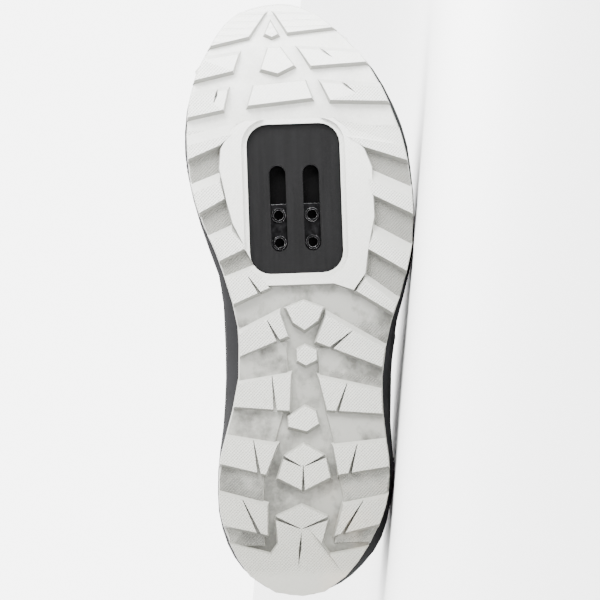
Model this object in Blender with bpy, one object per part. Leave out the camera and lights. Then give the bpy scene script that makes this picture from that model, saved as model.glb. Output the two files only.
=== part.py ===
"""Left off-road cycling shoe, lying on its outer side.

Lugged rubber outsole with a toe bumper, foam midsole, nylon cleat plate in a window of the tread,
sliding nut plate behind its slots, hollow upper, tongue, insole and two hook-and-loop straps.
The shoe is modelled in its own frame: +X to the toe, +Y to the outer side, +Z from the ground up,
heel at X = 0 and ground at Z = 0. At the end an empty lays it on its outer side.
"""

import math

import bmesh
import bpy
import numpy as np
from mathutils import Matrix, Vector

# Main sizes, metres
LENGTH = 0.250
TREAD_WIDTH = 0.094
UPPER_HEIGHT = 0.066
TOE_SPRING = 0.017
HEEL_BEVEL = 0.007
ARCH_RISE = 0.004
CLEARANCE = 0.0003

# Outsole
LUG_HEIGHT = 0.0042
LUG_ROOT = 0.0009
EDGE_DRAFT = 0.0005
SIDE_DRAFT = 0.0008
REAR_DRAFT = 0.0017
SIPE_WIDTH = 0.0017
SIPE_DEPTH = 0.0030
SIPE_END_WIDTH = 0.0003
SLIT_WIDTH = 0.0011
BASE_THICKNESS = 0.0026
LEDGE_HEIGHT = 0.0012
FRAME_HEIGHT = 0.0041
LIP_HEIGHT = 0.0018
LIP_WIDTH = 0.0024
BUMPER_WALL = 0.0018
BUMPER_REACH = 0.30
BUMPER_ROWS = 16
BUMPER_GAP = 0.0006
BUMPER_SPANS = {"medial": (0.875, 0.950), "lateral": (0.930, 0.985)}
BUMPER_LEAD = 0.03
BUMPER_SINK = 0.0012

# Midsole
MIDSOLE_HEEL = 0.0155
MIDSOLE_STEP = 0.0007
GROOVE_SHARE = 0.75

# Cleat plate, its slots and the nut plate behind them
PLATE_LENGTH = 0.062
PLATE_WIDTH = 0.0385
PLATE_THICKNESS = 0.0022
PLATE_CORNER = 0.0085
PLATE_CENTRE_X = 0.167
PLATE_CENTRE_Y = 0.0028
SLOT_SPACING = 0.014
SLOT_WIDTH = 0.0068
SLOT_LENGTH = 0.036
SLOT_CENTRE_X = 0.163
SOCKET_SPACING = 0.0115
SOCKET_RADIUS = 0.0029
SOCKET_BORE_RADIUS = 0.0021
SOCKET_HEIGHT = 0.0015
NUT_PLATE_THICKNESS = 0.0020
NUT_PLATE_MARGIN = 0.0018
NUT_PLATE_CORNER = 0.0020
NUT_END_GAP = 0.0008
POCKET_SIDE_GAP = 0.0005

# Upper, tongue, insole
WALL = 0.0020
LASTING_MARGIN = 0.008
BELLY_SHARE = 0.40
ROW_CROWDING = 0.25
FEATHER_INSET = 0.0012
TONGUE_THICKNESS = 0.0045
TONGUE_GAP = 0.0008
TONGUE_LAP = 0.010
TONGUE_HALF_WIDTH = 0.022
TONGUE_SPAN = (0.70, 0.385)
TONGUE_ROWS = 12
TONGUE_HALF_COLUMNS = 4
TONGUE_RISE = 0.016
TONGUE_TOP_ROWS = (0.3, 0.65, 1.0)
TONGUE_LIFT = 0.75
TONGUE_TAPER = 0.30
INSOLE_THICKNESS = 0.0040
INSOLE_GAP = 0.0009
INSOLE_LIFT = 0.0006

# Straps
STRAP_THICKNESS = 0.0016
STRAP_GAP = 0.0005
STRAP_WIDTH = 0.024
STRAP_TIP_WIDTH = 0.013
STRAP_TIP_START = 0.72
STRAP_PITCH = 0.0065

# Resolution
PAIRS = 36
ACROSS = 5
RIB_ROWS = 10
CORNER_STEPS = 6
SOCKET_SIDES = 20

# Densities for the resting pose, kg per cubic metre
DENSITY = {
    "outsole": 1050.0,
    "midsole": 320.0,
    "cleat_plate": 1140.0,
    "cleat_nut_plate": 7800.0,
    "upper": 520.0,
    "tongue": 250.0,
    "insole": 200.0,
    "strap_forefoot": 700.0,
    "strap_instep": 700.0,
}


def slopes(keys, values):
    """Slopes that keep a curve through the rows smooth and free of overshoot."""
    secants = np.diff(values) / np.diff(keys)
    result = np.gradient(values, keys)
    limit = 3 * np.minimum(abs(secants[:-1]), abs(secants[1:]))
    same_way = secants[:-1] * secants[1:] > 0
    result[1:-1] = np.clip(result[1:-1], -limit, limit) * same_way
    return result


class Table:
    """Rows of shares with named columns. The first column runs along the shoe, 1 at the toe.

    With round ends a curve is drawn over the angle of a circle on the length, so that a width
    closes round at the toe and the heel.
    """

    def __init__(self, columns, rows, round_ends=False):
        self.columns = dict(zip(columns, np.array(rows, float).T))
        self.round_ends = round_ends
        self.keys = self.key(self.columns[columns[0]])

    def key(self, along):
        along = np.clip(along, 0.0, 1.0)
        return np.arccos(2 * along - 1) if self.round_ends else 1 - along

    def at(self, name, along):
        values = self.columns[name]
        slope = slopes(self.keys, values)
        key = np.clip(self.key(np.asarray(along, float)), self.keys[0], self.keys[-1])
        i = np.clip(np.searchsorted(self.keys, key) - 1, 0, len(values) - 2)
        span = self.keys[i + 1] - self.keys[i]
        t = (key - self.keys[i]) / span
        rise = 3 * t**2 - 2 * t**3
        bend = slope[i] * (t - 2 * t**2 + t**3) + slope[i + 1] * (t**3 - t**2)
        return values[i] * (1 - rise) + values[i + 1] * rise + bend * span


# Plan of the tread and of the shoe's side, as shares of the tread's width from the shoe's axis
OUTLINE = Table(
    ("along", "medial_tread", "lateral_tread", "medial_side", "lateral_side"),
    [
        (1.000, -0.011, -0.011, -0.011, -0.011),
        (0.980, -0.220, 0.150, -0.222, 0.155),
        (0.960, -0.273, 0.213, -0.275, 0.225),
        (0.920, -0.340, 0.319, -0.345, 0.333),
        (0.880, -0.394, 0.394, -0.399, 0.411),
        (0.820, -0.434, 0.468, -0.445, 0.493),
        (0.760, -0.443, 0.521, -0.461, 0.545),
        (0.700, -0.433, 0.548, -0.443, 0.560),
        (0.640, -0.394, 0.557, -0.409, 0.567),
        (0.580, -0.330, 0.543, -0.365, 0.557),
        (0.520, -0.282, 0.503, -0.319, 0.526),
        (0.460, -0.246, 0.445, -0.315, 0.481),
        (0.400, -0.243, 0.406, -0.315, 0.453),
        (0.340, -0.266, 0.390, -0.324, 0.443),
        (0.280, -0.311, 0.395, -0.340, 0.435),
        (0.220, -0.351, 0.411, -0.360, 0.441),
        (0.160, -0.355, 0.397, -0.367, 0.426),
        (0.120, -0.336, 0.360, -0.355, 0.404),
        (0.080, -0.297, 0.300, -0.323, 0.362),
        (0.040, -0.234, 0.220, -0.250, 0.272),
        (0.016, -0.155, 0.145, -0.165, 0.185),
        (0.000, 0.005, 0.005, 0.005, 0.005),
    ],
    round_ends=True,
)

# Side view of the sole: toe spring, heel bevel and arch as shares of their sizes, then the
# thickness of the lugs and of the midsole as shares of theirs
PROFILE = Table(
    ("along", "spring", "bevel", "arch", "lug", "midsole"),
    [
        (1.00, 1.00, 0.00, 0.00, 0.55, 0.36),
        (0.97, 0.74, 0.00, 0.00, 0.65, 0.37),
        (0.94, 0.50, 0.00, 0.00, 0.75, 0.38),
        (0.90, 0.26, 0.00, 0.00, 0.88, 0.39),
        (0.85, 0.07, 0.00, 0.00, 1.00, 0.41),
        (0.81, 0.00, 0.00, 0.00, 1.00, 0.43),
        (0.70, 0.00, 0.00, 0.00, 1.00, 0.47),
        (0.56, 0.00, 0.00, 0.00, 1.00, 0.58),
        (0.50, 0.00, 0.00, 0.00, 1.00, 0.66),
        (0.46, 0.00, 0.00, 0.30, 1.00, 0.73),
        (0.40, 0.00, 0.00, 0.80, 1.00, 0.82),
        (0.34, 0.00, 0.00, 1.00, 1.00, 0.89),
        (0.28, 0.00, 0.00, 0.60, 1.00, 0.95),
        (0.22, 0.00, 0.00, 0.10, 1.00, 0.98),
        (0.16, 0.00, 0.00, 0.00, 1.00, 1.00),
        (0.12, 0.00, 0.08, 0.00, 0.95, 1.00),
        (0.08, 0.00, 0.25, 0.00, 0.90, 0.99),
        (0.04, 0.00, 0.55, 0.00, 0.80, 0.96),
        (0.00, 0.00, 1.00, 0.00, 0.70, 0.92),
    ],
)

# Ribs of the upper, by where they leave the sole. Each ends on the vamp's ridge, the throat's
# edge or the collar: that end's place along the shoe, its distance from the middle plane and its
# rise over the feather line, then the bulge at the foot, the shoulder and the fall at the top
RIBS = Table(
    ("foot", "along", "half_gap", "rise", "flare", "shoulder", "fall"),
    [
        (1.000, 0.930, 0.000, 0.440, 0.042, 0.160, 0.050),
        (0.980, 0.922, 0.000, 0.462, 0.044, 0.165, 0.040),
        (0.960, 0.911, 0.000, 0.490, 0.048, 0.172, 0.030),
        (0.920, 0.888, 0.000, 0.540, 0.054, 0.185, 0.015),
        (0.880, 0.858, 0.000, 0.592, 0.060, 0.200, 0.008),
        (0.820, 0.812, 0.000, 0.650, 0.063, 0.212, 0.00),
        (0.760, 0.760, 0.000, 0.708, 0.064, 0.215, 0.00),
        (0.700, 0.704, 0.000, 0.765, 0.062, 0.210, 0.01),
        (0.652, 0.652, 0.000, 0.826, 0.060, 0.200, 0.02),
        (0.600, 0.600, 0.085, 0.865, 0.055, 0.170, 0.06),
        (0.540, 0.548, 0.125, 0.925, 0.050, 0.140, 0.10),
        (0.480, 0.496, 0.150, 0.985, 0.045, 0.120, 0.14),
        (0.420, 0.444, 0.170, 1.050, 0.040, 0.100, 0.18),
        (0.380, 0.408, 0.205, 1.090, 0.038, 0.080, 0.22),
        (0.340, 0.360, 0.270, 1.030, 0.036, 0.050, 0.24),
        (0.280, 0.288, 0.300, 0.930, 0.034, 0.030, 0.25),
        (0.220, 0.220, 0.305, 0.835, 0.032, 0.025, 0.25),
        (0.160, 0.160, 0.290, 0.820, 0.032, 0.020, 0.25),
        (0.100, 0.104, 0.235, 0.860, 0.032, 0.020, 0.25),
        (0.050, 0.060, 0.150, 0.930, 0.030, 0.020, 0.25),
        (0.016, 0.036, 0.075, 0.985, 0.030, 0.020, 0.25),
        (0.000, 0.024, 0.000, 1.000, 0.028, 0.020, 0.25),
    ],
    round_ends=True,
)

# Middle plane of the upper, as a share of the tread's width from the shoe's axis
MIDDLE = Table(
    ("along", "across"),
    [
        (1.00, -0.011),
        (0.90, -0.020),
        (0.80, 0.000),
        (0.70, 0.030),
        (0.55, 0.040),
        (0.40, 0.048),
        (0.20, 0.038),
        (0.00, 0.005),
    ],
)

# Side lugs from toe to heel: where the front and rear faces meet the tread's edge, where and how
# far in they end, and the length of the ramp that leads up to the lug's face
LUG_COLUMNS = (
    "front_edge", "front_tip", "front_in", "rear_edge", "rear_tip", "rear_in", "ramp"
)
MEDIAL_LUGS = [
    (0.986, 0.988, -0.066, 0.926, 0.940, -0.149, 0.003),
    (0.912, 0.920, -0.191, 0.868, 0.882, -0.223, 0.005),
    (0.852, 0.860, -0.245, 0.806, 0.817, -0.271, 0.005),
    (0.782, 0.800, -0.223, 0.736, 0.758, -0.293, 0.018),
    (0.700, 0.718, -0.298, 0.646, 0.669, -0.277, 0.016),
    (0.612, 0.628, -0.255, 0.565, 0.586, -0.186, 0.008),
    (0.542, 0.560, -0.160, 0.492, 0.518, -0.090, 0.005),
    (0.452, 0.485, -0.053, 0.404, 0.436, -0.016, 0.005),
    (0.368, 0.380, -0.011, 0.320, 0.310, -0.024, 0.005),
    (0.279, 0.262, -0.080, 0.226, 0.205, -0.140, 0.005),
    (0.186, 0.162, -0.135, 0.122, 0.104, -0.140, 0.005),
]
LATERAL_LUGS = [
    (0.982, 0.988, -0.043, 0.952, 0.945, 0.021, 0.003),
    (0.916, 0.926, 0.060, 0.890, 0.886, 0.120, 0.005),
    (0.856, 0.867, 0.155, 0.822, 0.827, 0.200, 0.005),
    (0.780, 0.800, 0.245, 0.722, 0.748, 0.340, 0.028),
    (0.684, 0.718, 0.356, 0.632, 0.668, 0.367, 0.020),
    (0.588, 0.624, 0.372, 0.538, 0.578, 0.340, 0.020),
    (0.498, 0.540, 0.330, 0.468, 0.508, 0.282, 0.010),
    (0.420, 0.480, 0.150, 0.378, 0.425, 0.096, 0.006),
    (0.348, 0.375, 0.102, 0.300, 0.309, 0.138, 0.005),
    (0.264, 0.257, 0.158, 0.212, 0.201, 0.178, 0.005),
    (0.171, 0.159, 0.195, 0.116, 0.099, 0.149, 0.005),
]
EDGE_POINTS = 4

# Middle lugs, as corners: share along the shoe, share of the tread's width from its axis
MIDDLE_LUGS = {
    "toe_wedge": [(0.972, -0.052), (0.945, -0.084), (0.938, -0.048), (0.944, -0.014)],
    "toe_kite": [
        (0.924, -0.069),
        (0.924, -0.011),
        (0.889, 0.053),
        (0.875, -0.027),
        (0.884, -0.106),
    ],
    "toe_bar": [(0.860, -0.138), (0.866, 0.096), (0.832, 0.128), (0.822, -0.170)],
    "arch_hexagon": [
        (0.498, 0.053),
        (0.484, 0.144),
        (0.460, 0.117),
        (0.444, 0.053),
        (0.458, 0.000),
        (0.486, -0.032),
    ],
    "waist_hexagon": [
        (0.424, 0.053),
        (0.414, 0.106),
        (0.394, 0.106),
        (0.385, 0.053),
        (0.394, 0.012),
        (0.416, 0.012),
    ],
    "heel_hexagon": [
        (0.322, 0.043),
        (0.312, 0.094),
        (0.288, 0.106),
        (0.275, 0.048),
        (0.284, -0.037),
        (0.304, -0.037),
    ],
    "heel_block": [
        (0.259, 0.032),
        (0.239, -0.058),
        (0.234, -0.064),
        (0.200, -0.095),
        (0.176, 0.022),
        (0.198, 0.149),
        (0.234, 0.131),
        (0.238, 0.124),
    ],
}

# Front edge of the heel pad, from the medial to the lateral edge of the tread
HEEL_PAD_FRONT = [
    (0.096, -0.303),
    (0.076, -0.133),
    (0.092, -0.101),
    (0.132, -0.108),
    (0.139, -0.103),
    (0.157, 0.014),
    (0.136, 0.128),
    (0.129, 0.132),
    (0.090, 0.101),
    (0.072, 0.133),
    (0.082, 0.300),
]

# Share of the pad's length at which its edge meets the round of the heel
HEEL_PAD_REAR = 0.1

# Tapered sipes: the closed end, then the mouth at the lug's edge
SIPES = [
    (0.540, -0.189, 0.510, -0.138),
    (0.466, -0.112, 0.430, -0.064),
    (0.372, -0.099, 0.310, -0.090),
    (0.266, -0.191, 0.206, -0.170),
    (0.168, -0.248, 0.108, -0.179),
    (0.444, 0.266, 0.418, 0.176),
    (0.356, 0.234, 0.304, 0.181),
    (0.254, 0.269, 0.202, 0.229),
    (0.160, 0.287, 0.102, 0.186),
    (0.220, 0.018, 0.237, -0.066),
    (0.220, 0.032, 0.237, 0.132),
    (0.222, 0.026, 0.175, 0.022),
    (0.116, 0.004, 0.136, -0.110),
    (0.116, 0.014, 0.133, 0.136),
]

# Slits that close at both ends
SLITS = [
    (0.858, -0.293, 0.830, -0.316),
    (0.928, 0.128, 0.902, 0.222),
    (0.868, 0.229, 0.840, 0.320),
    (0.112, 0.009, 0.052, -0.011),
]

# Low ledges that join the side lugs behind the arch: their inner edges, toe to heel
LEDGES = {
    "medial": [
        (0.428, -0.032),
        (0.380, -0.030),
        (0.308, -0.058),
        (0.264, -0.096),
        (0.204, -0.155),
        (0.164, -0.160),
        (0.090, -0.160),
    ],
    "lateral": [
        (0.416, 0.106),
        (0.380, 0.112),
        (0.308, 0.138),
        (0.264, 0.165),
        (0.208, 0.181),
        (0.164, 0.202),
        (0.090, 0.154),
    ],
}

# Raised frame between the side lugs and the rim of the cleat window
FRAME = [
    (0.800, -0.181),
    (0.788, -0.240),
    (0.755, -0.291),
    (0.722, -0.300),
    (0.666, -0.273),
    (0.629, -0.249),
    (0.588, -0.197),
    (0.560, -0.160),
    (0.524, -0.128),
    (0.524, 0.191),
    (0.512, 0.277),
    (0.539, 0.331),
    (0.575, 0.345),
    (0.633, 0.379),
    (0.716, 0.376),
    (0.746, 0.346),
    (0.784, 0.268),
    (0.800, 0.213),
]

# Straps: where they cross the ridge, and where they start and end, as distances over the upper
FOREFOOT_STRAP = {"ridge": 0.585, "medial": 0.600, "lateral": 0.565, "start": -0.046, "end": 0.052}
INSTEP_STRAP = {"ridge": 0.455, "medial": 0.470, "lateral": 0.402, "start": -0.055, "end": 0.071}


# Plan curves


def plan(along, across):
    return LENGTH * along, TREAD_WIDTH * across


def pair_alongs():
    """Places along the shoe of the pairs of medial and lateral points, close at both ends."""
    angle = np.linspace(0.0, math.pi, PAIRS + 1)
    return (1 + np.cos(angle)) / 2


def outline_loop(kind):
    """Closed plan loop: toe tip, medial side, heel tip, lateral side."""
    along = pair_alongs()
    medial = np.stack(plan(along, OUTLINE.at("medial_" + kind, along)), axis=1)
    lateral = np.stack(plan(along, OUTLINE.at("lateral_" + kind, along)), axis=1)
    return np.concatenate([medial, lateral[-2:0:-1]])


def loop_normals(loop):
    """Outward plan normals of a closed loop."""
    along = np.roll(loop, -1, axis=0) - np.roll(loop, 1, axis=0)
    normals = np.stack([-along[:, 1], along[:, 0]], axis=1)
    return normals / np.linalg.norm(normals, axis=1)[:, None]


def inset(loop, distance):
    return loop - loop_normals(loop) * np.reshape(distance, (-1, 1))


def loop_alongs():
    along = pair_alongs()
    return np.concatenate([along, along[-2:0:-1]])


def bumper_room():
    """Depth that the midsole and upper leave for the bumper: all of it at the toe, none behind."""
    return (BUMPER_WALL + BUMPER_GAP) * bumper_shares(BUMPER_LEAD)


def bumper_shares(early=0.0):
    """0 behind the bumper to 1 where it is full, round the plan loop, starting early by a share."""
    along = loop_alongs()
    spans = np.array([BUMPER_SPANS["medial"], BUMPER_SPANS["lateral"]])
    start, full = spans[(np.arange(len(along)) > PAIRS).astype(int)].T
    share = np.clip((along - start + early) / (full - start), 0.0, 1.0)
    return share**2 * (3 - 2 * share)


def edge_point(side, along):
    """Point just inside the tread's edge, where the top of a lug ends."""
    across = float(OUTLINE.at(side + "_tread", along))
    x, y = plan(along, across)
    return x, y - math.copysign(EDGE_DRAFT, across)


# Heights of the sole's layers over the ground


def lug_face_z(x):
    along = x / LENGTH
    rise = TOE_SPRING * PROFILE.at("spring", along) + HEEL_BEVEL * PROFILE.at("bevel", along)
    return rise + ARCH_RISE * PROFILE.at("arch", along)


def base_low_z(x):
    return lug_face_z(x) + LUG_HEIGHT * PROFILE.at("lug", x / LENGTH)


def base_top_z(x):
    return base_low_z(x) + BASE_THICKNESS


def midsole_z(x, share):
    return base_top_z(x) + CLEARANCE + share * MIDSOLE_HEEL * PROFILE.at("midsole", x / LENGTH)


def feather_z(x):
    return midsole_z(x, 1.0) + CLEARANCE


# Meshes and objects


def new_object(name, bm, material=None):
    mesh = bpy.data.meshes.new(name)
    bm.to_mesh(mesh)
    bm.free()
    obj = bpy.data.objects.new(name, mesh)
    bpy.context.scene.collection.objects.link(obj)
    if material:
        mesh.materials.append(material)
    return obj


def material(name, colour, roughness, metallic=0.0):
    made = bpy.data.materials.new(name)
    made.use_nodes = True
    shader = made.node_tree.nodes["Principled BSDF"]
    shader.inputs["Base Color"].default_value = (*colour, 1.0)
    shader.inputs["Roughness"].default_value = roughness
    shader.inputs["Metallic"].default_value = metallic
    return made


def add_cap(bm, loop, height):
    """Surface over a plan loop, one row of quads between each two pairs. Returns the rim."""
    tip = bm.verts.new((*loop[0], height(loop[0][0])))
    heel = bm.verts.new((*loop[PAIRS], height(loop[PAIRS][0])))
    rows = []
    for i in range(1, PAIRS):
        medial, lateral = loop[i], loop[-i]
        row = []
        for j in range(ACROSS + 1):
            x, y = medial + (lateral - medial) * j / ACROSS
            row.append(bm.verts.new((x, y, height(x))))
        rows.append(row)
    for j in range(ACROSS):
        bm.faces.new((tip, rows[0][j], rows[0][j + 1]))
        bm.faces.new((heel, rows[-1][j + 1], rows[-1][j]))
    for row, following in zip(rows, rows[1:]):
        for j in range(ACROSS):
            bm.faces.new((row[j], following[j], following[j + 1], row[j + 1]))
    medial_rim = [row[0] for row in rows]
    lateral_rim = [row[-1] for row in reversed(rows)]
    return [tip, *medial_rim, heel, *lateral_rim]


def layered_mesh(levels):
    """Closed mesh through plan loops at heights: a cap on the first and last, walls between."""
    bm = bmesh.new()
    rims = []
    for i, (loop, height) in enumerate(levels):
        if i in (0, len(levels) - 1):
            rims.append(add_cap(bm, loop, height))
        else:
            rims.append([bm.verts.new((x, y, height(x))) for x, y in loop])
    for low, high in zip(rims, rims[1:]):
        join_rims(bm, low, high)
    bmesh.ops.recalc_face_normals(bm, faces=bm.faces)
    return bm


def join_rims(bm, low, high):
    for k in range(len(low)):
        following = (k + 1) % len(low)
        bm.faces.new((low[k], low[following], high[following], high[k]))


def edge_normals(points):
    """Outward normal of each edge of a polygon, from its corner to the next."""
    following = np.roll(points, -1, axis=0)
    area = np.sum(points[:, 0] * following[:, 1] - following[:, 0] * points[:, 1])
    unit = (following - points) / np.linalg.norm(following - points, axis=1)[:, None]
    return np.stack([unit[:, 1], -unit[:, 0]], axis=1) * math.copysign(1.0, area)


def offset_polygon(points, distances):
    """Polygon whose edges are moved outward, each by its own distance."""
    points = np.array(points, float)
    normals = edge_normals(points)
    distances = np.broadcast_to(distances, len(points))
    moved = []
    for k, point in enumerate(points):
        before, after = normals[k - 1], normals[k]
        cross = before[0] * after[1] - before[1] * after[0]
        if abs(cross) < 0.3:
            moved.append(point + (before * distances[k - 1] + after * distances[k]) / 2)
            continue
        shift_x = (distances[k - 1] * after[1] - distances[k] * before[1]) / cross
        shift_y = (distances[k] * before[0] - distances[k - 1] * after[0]) / cross
        moved.append(point + (shift_x, shift_y))
    return np.array(moved)


def add_block(bm, low_corners, high_corners, low_height, high_height, cap=None):
    """Block between two outlines of as many corners, whose heights may follow the sole."""
    low = [bm.verts.new((x, y, low_height(x))) for x, y in low_corners]
    high = [bm.verts.new((x, y, high_height(x))) for x, y in high_corners]
    for rim in (low, high):
        (cap or bm.faces.new)(rim)
    join_rims(bm, low, high)


def cap_in_strips(bm, rim):
    """Short faces across a rim, from each corner to the one as far from the other end."""
    for k in range((len(rim) - 1) // 2):
        corners = [rim[k], rim[k + 1], rim[-k - 2], rim[-k - 1]]
        bm.faces.new(dict.fromkeys(corners))


def rounded_rectangle(x_low, x_high, y_low, y_high, radius):
    """Corners of a rectangle with round corners, anticlockwise."""
    centres = [
        (x_high - radius, y_high - radius, 0),
        (x_low + radius, y_high - radius, 1),
        (x_low + radius, y_low + radius, 2),
        (x_high - radius, y_low + radius, 3),
    ]
    points = []
    for x, y, quarter in centres:
        for step in range(CORNER_STEPS + 1):
            angle = math.pi / 2 * (quarter + step / CORNER_STEPS)
            points.append((x + radius * math.cos(angle), y + radius * math.sin(angle)))
    return points


def flat(height):
    return lambda x: height


def block_object(name, corners, low, high, surface=None):
    bm = bmesh.new()
    add_block(bm, corners, corners, flat(low), flat(high))
    bmesh.ops.recalc_face_normals(bm, faces=bm.faces)
    return new_object(name, bm, surface)


def apply_boolean(target, operand, operation, crossing=False):
    """Boolean between two objects, whose operand stays in the file as a hidden guide."""
    modifier = target.modifiers.new(operation.title(), "BOOLEAN")
    modifier.object = operand
    modifier.operation = operation
    modifier.solver = "EXACT"
    modifier.use_self = crossing
    operand.hide_render = True
    operand.display_type = "WIRE"
    operand.parent = target.parent


# Outsole


def lug_root_z(x):
    return base_low_z(x) + LUG_ROOT


def raised_face_z(height):
    """Height of a face that stands a named height proud of the base."""
    return lambda x: base_low_z(x) - height


def add_lug(bm, face_corners, foot_corners, outer_edges=0):
    """Lug with drafted walls, steeper in front. Its first edges lie on the tread's edge."""
    rear = np.clip(-edge_normals(np.array(foot_corners, float))[:, 0], 0.0, 1.0)
    draft = (SIDE_DRAFT + (REAR_DRAFT - SIDE_DRAFT) * rear) / 2
    inward, outward = draft.copy(), draft.copy()
    inward[:outer_edges] = 0.0
    outward[:outer_edges] = EDGE_DRAFT
    face, foot = offset_polygon(face_corners, -inward), offset_polygon(foot_corners, outward)
    add_block(bm, face, foot, lug_face_z, lug_root_z)


def side_lug_corners(side, lug, ramp):
    """Outline of a side lug whose front edge lies further back by a ramp."""
    edge = np.linspace(lug["front_edge"] - ramp, lug["rear_edge"], EDGE_POINTS)
    corners = [edge_point(side, along) for along in edge]
    corners.append(plan(lug["rear_tip"], lug["rear_in"]))
    corners.append(plan(lug["front_tip"] - ramp, lug["front_in"]))
    return corners


def add_side_lug(bm, side, row):
    lug = dict(zip(LUG_COLUMNS, row))
    face, foot = side_lug_corners(side, lug, lug["ramp"]), side_lug_corners(side, lug, 0.0)
    add_lug(bm, face, foot, EDGE_POINTS - 1)


def add_heel_pad(bm):
    front = [plan(along, across) for along, across in HEEL_PAD_FRONT]
    medial, lateral = HEEL_PAD_FRONT[0][0], HEEL_PAD_FRONT[-1][0]
    shares = np.linspace(1.0, HEEL_PAD_REAR, EDGE_POINTS)
    edge = [edge_point("medial", medial * share) for share in shares]
    edge.append((EDGE_DRAFT, plan(0.0, float(OUTLINE.at("medial_tread", 0.0)))[1]))
    edge += [edge_point("lateral", lateral * share) for share in reversed(shares)]
    corners = [*edge, *front[-2:0:-1]]
    add_lug(bm, corners, corners, len(edge) - 1)


def lugs_mesh():
    bm = bmesh.new()
    for side, rows in (("medial", MEDIAL_LUGS), ("lateral", LATERAL_LUGS)):
        for row in rows:
            add_side_lug(bm, side, row)
    for shares in MIDDLE_LUGS.values():
        corners = [plan(*share) for share in shares]
        add_lug(bm, corners, corners)
    add_heel_pad(bm)
    bmesh.ops.recalc_face_normals(bm, faces=bm.faces)
    return bm


def raised_mesh(corners, height, outer_edges=()):
    """Block that stands a height proud of the base, with drafted sides."""
    draft = np.full(len(corners), SIDE_DRAFT)
    draft[list(outer_edges)] = EDGE_DRAFT
    foot = offset_polygon(corners, draft)
    face_z, foot_z = raised_face_z(height), raised_face_z(-LUG_ROOT - height / 4)
    bm = bmesh.new()
    add_block(bm, corners, foot, face_z, foot_z, lambda rim: cap_in_strips(bm, rim))
    bmesh.ops.recalc_face_normals(bm, faces=bm.faces)
    return bm


def ledge_mesh(side):
    inner = LEDGES[side]
    edge = [edge_point(side, along) for along in np.linspace(inner[-1][0], inner[0][0], len(inner))]
    outer_edges = range(len(inner), 2 * len(inner) - 1)
    return raised_mesh([*(plan(*corner) for corner in inner), *edge], LEDGE_HEIGHT, outer_edges)


def window_corners(reach):
    """Outline of the cleat window, or a wider one round it."""
    half_length = PLATE_LENGTH / 2 + reach
    half_width = PLATE_WIDTH / 2 + reach
    return rounded_rectangle(
        PLATE_CENTRE_X - half_length,
        PLATE_CENTRE_X + half_length,
        PLATE_CENTRE_Y - half_width,
        PLATE_CENTRE_Y + half_width,
        PLATE_CORNER + reach,
    )


def add_slit(bm, corners):
    """Cutter that goes down into a lug from beyond its face."""
    add_block(
        bm,
        corners,
        corners,
        lambda x: lug_face_z(x) - LUG_HEIGHT / 2,
        lambda x: lug_face_z(x) + SIPE_DEPTH * PROFILE.at("lug", x / LENGTH),
    )


def sipes_mesh():
    """Cutters of the sipes, wedges that run out past their mouths, and of the closed slits."""
    bm = bmesh.new()
    for row in SIPES:
        end, mouth = np.array(plan(*row[:2])), np.array(plan(*row[2:]))
        way = (mouth - end) / np.linalg.norm(mouth - end)
        mouth = mouth + way * SIPE_WIDTH
        across = np.array([-way[1], way[0]])
        narrow, wide = across * SIPE_END_WIDTH / 2, across * SIPE_WIDTH / 2
        add_slit(bm, [end - narrow, mouth - wide, mouth + wide, end + narrow])
    for row in SLITS:
        front, rear = np.array(plan(*row[:2])), np.array(plan(*row[2:]))
        middle, way = (front + rear) / 2, (rear - front) / np.linalg.norm(rear - front)
        across = np.array([-way[1], way[0]]) * SLIT_WIDTH / 2
        add_slit(bm, [front, middle - across, rear, middle + across])
    bmesh.ops.recalc_face_normals(bm, faces=bm.faces)
    return bm


def bumper_profile(k, levels):
    """Curve up the toe at one place of the plan loop: sole's edge, midsole, foot of the upper."""
    normal = loop_normals(feather_loop())[k]
    x, y = outline_loop("tread")[k] - normal * BUMPER_WALL
    points = [(x, y, base_low_z(x) + BUMPER_SINK)]
    for loop, share in levels:
        x, y = loop[k] + normal * BUMPER_GAP
        points.append((x, y, midsole_z(x, share)))
    for share in np.linspace(0.0, BUMPER_REACH, 4)[1:]:
        x, y, z = rib_point(k, share)
        points.append((x + normal[0] * BUMPER_GAP, y + normal[1] * BUMPER_GAP, z))
    return np.array(points, float)


def bumper_object():
    """Shell that rises from the sole's edge over the midsole and the foot of the upper."""
    shares = bumper_shares()
    columns = [k for k in range(len(shares)) if shares[k] > 0]
    columns = [k for k in columns if k > PAIRS] + [k for k in columns if k < PAIRS]
    levels = midsole_levels()
    rows = []
    for k in columns:
        profile = bumper_profile(k, levels)
        steps = np.linalg.norm(np.diff(profile, axis=0), axis=1)
        length = np.concatenate([[0.0], np.cumsum(steps)])
        height = length[-1] * max(float(shares[k]), 2 * BUMPER_SINK / length[-1])
        places = np.linspace(0.0, height, BUMPER_ROWS)
        rows.append([[np.interp(p, length, profile[:, i]) for i in range(3)] for p in places])
    return grid_object("bumper_form", rows, None, BUMPER_WALL, 1.0, Vector((1.0, 0.0, 0.0)))


def orient_outward(bm, direction):
    """Turns an open surface so that its face furthest along a direction faces that way."""
    bmesh.ops.recalc_face_normals(bm, faces=bm.faces)
    bm.normal_update()
    far = max(bm.faces, key=lambda face: face.calc_center_median().dot(direction))
    if far.normal.dot(direction) < 0:
        bmesh.ops.reverse_faces(bm, faces=bm.faces)


def thicken(obj, thickness, offset):
    modifier = obj.modifiers.new("Wall", "SOLIDIFY")
    modifier.thickness = thickness
    modifier.offset = offset
    modifier.use_even_offset = True
    return modifier


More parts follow.
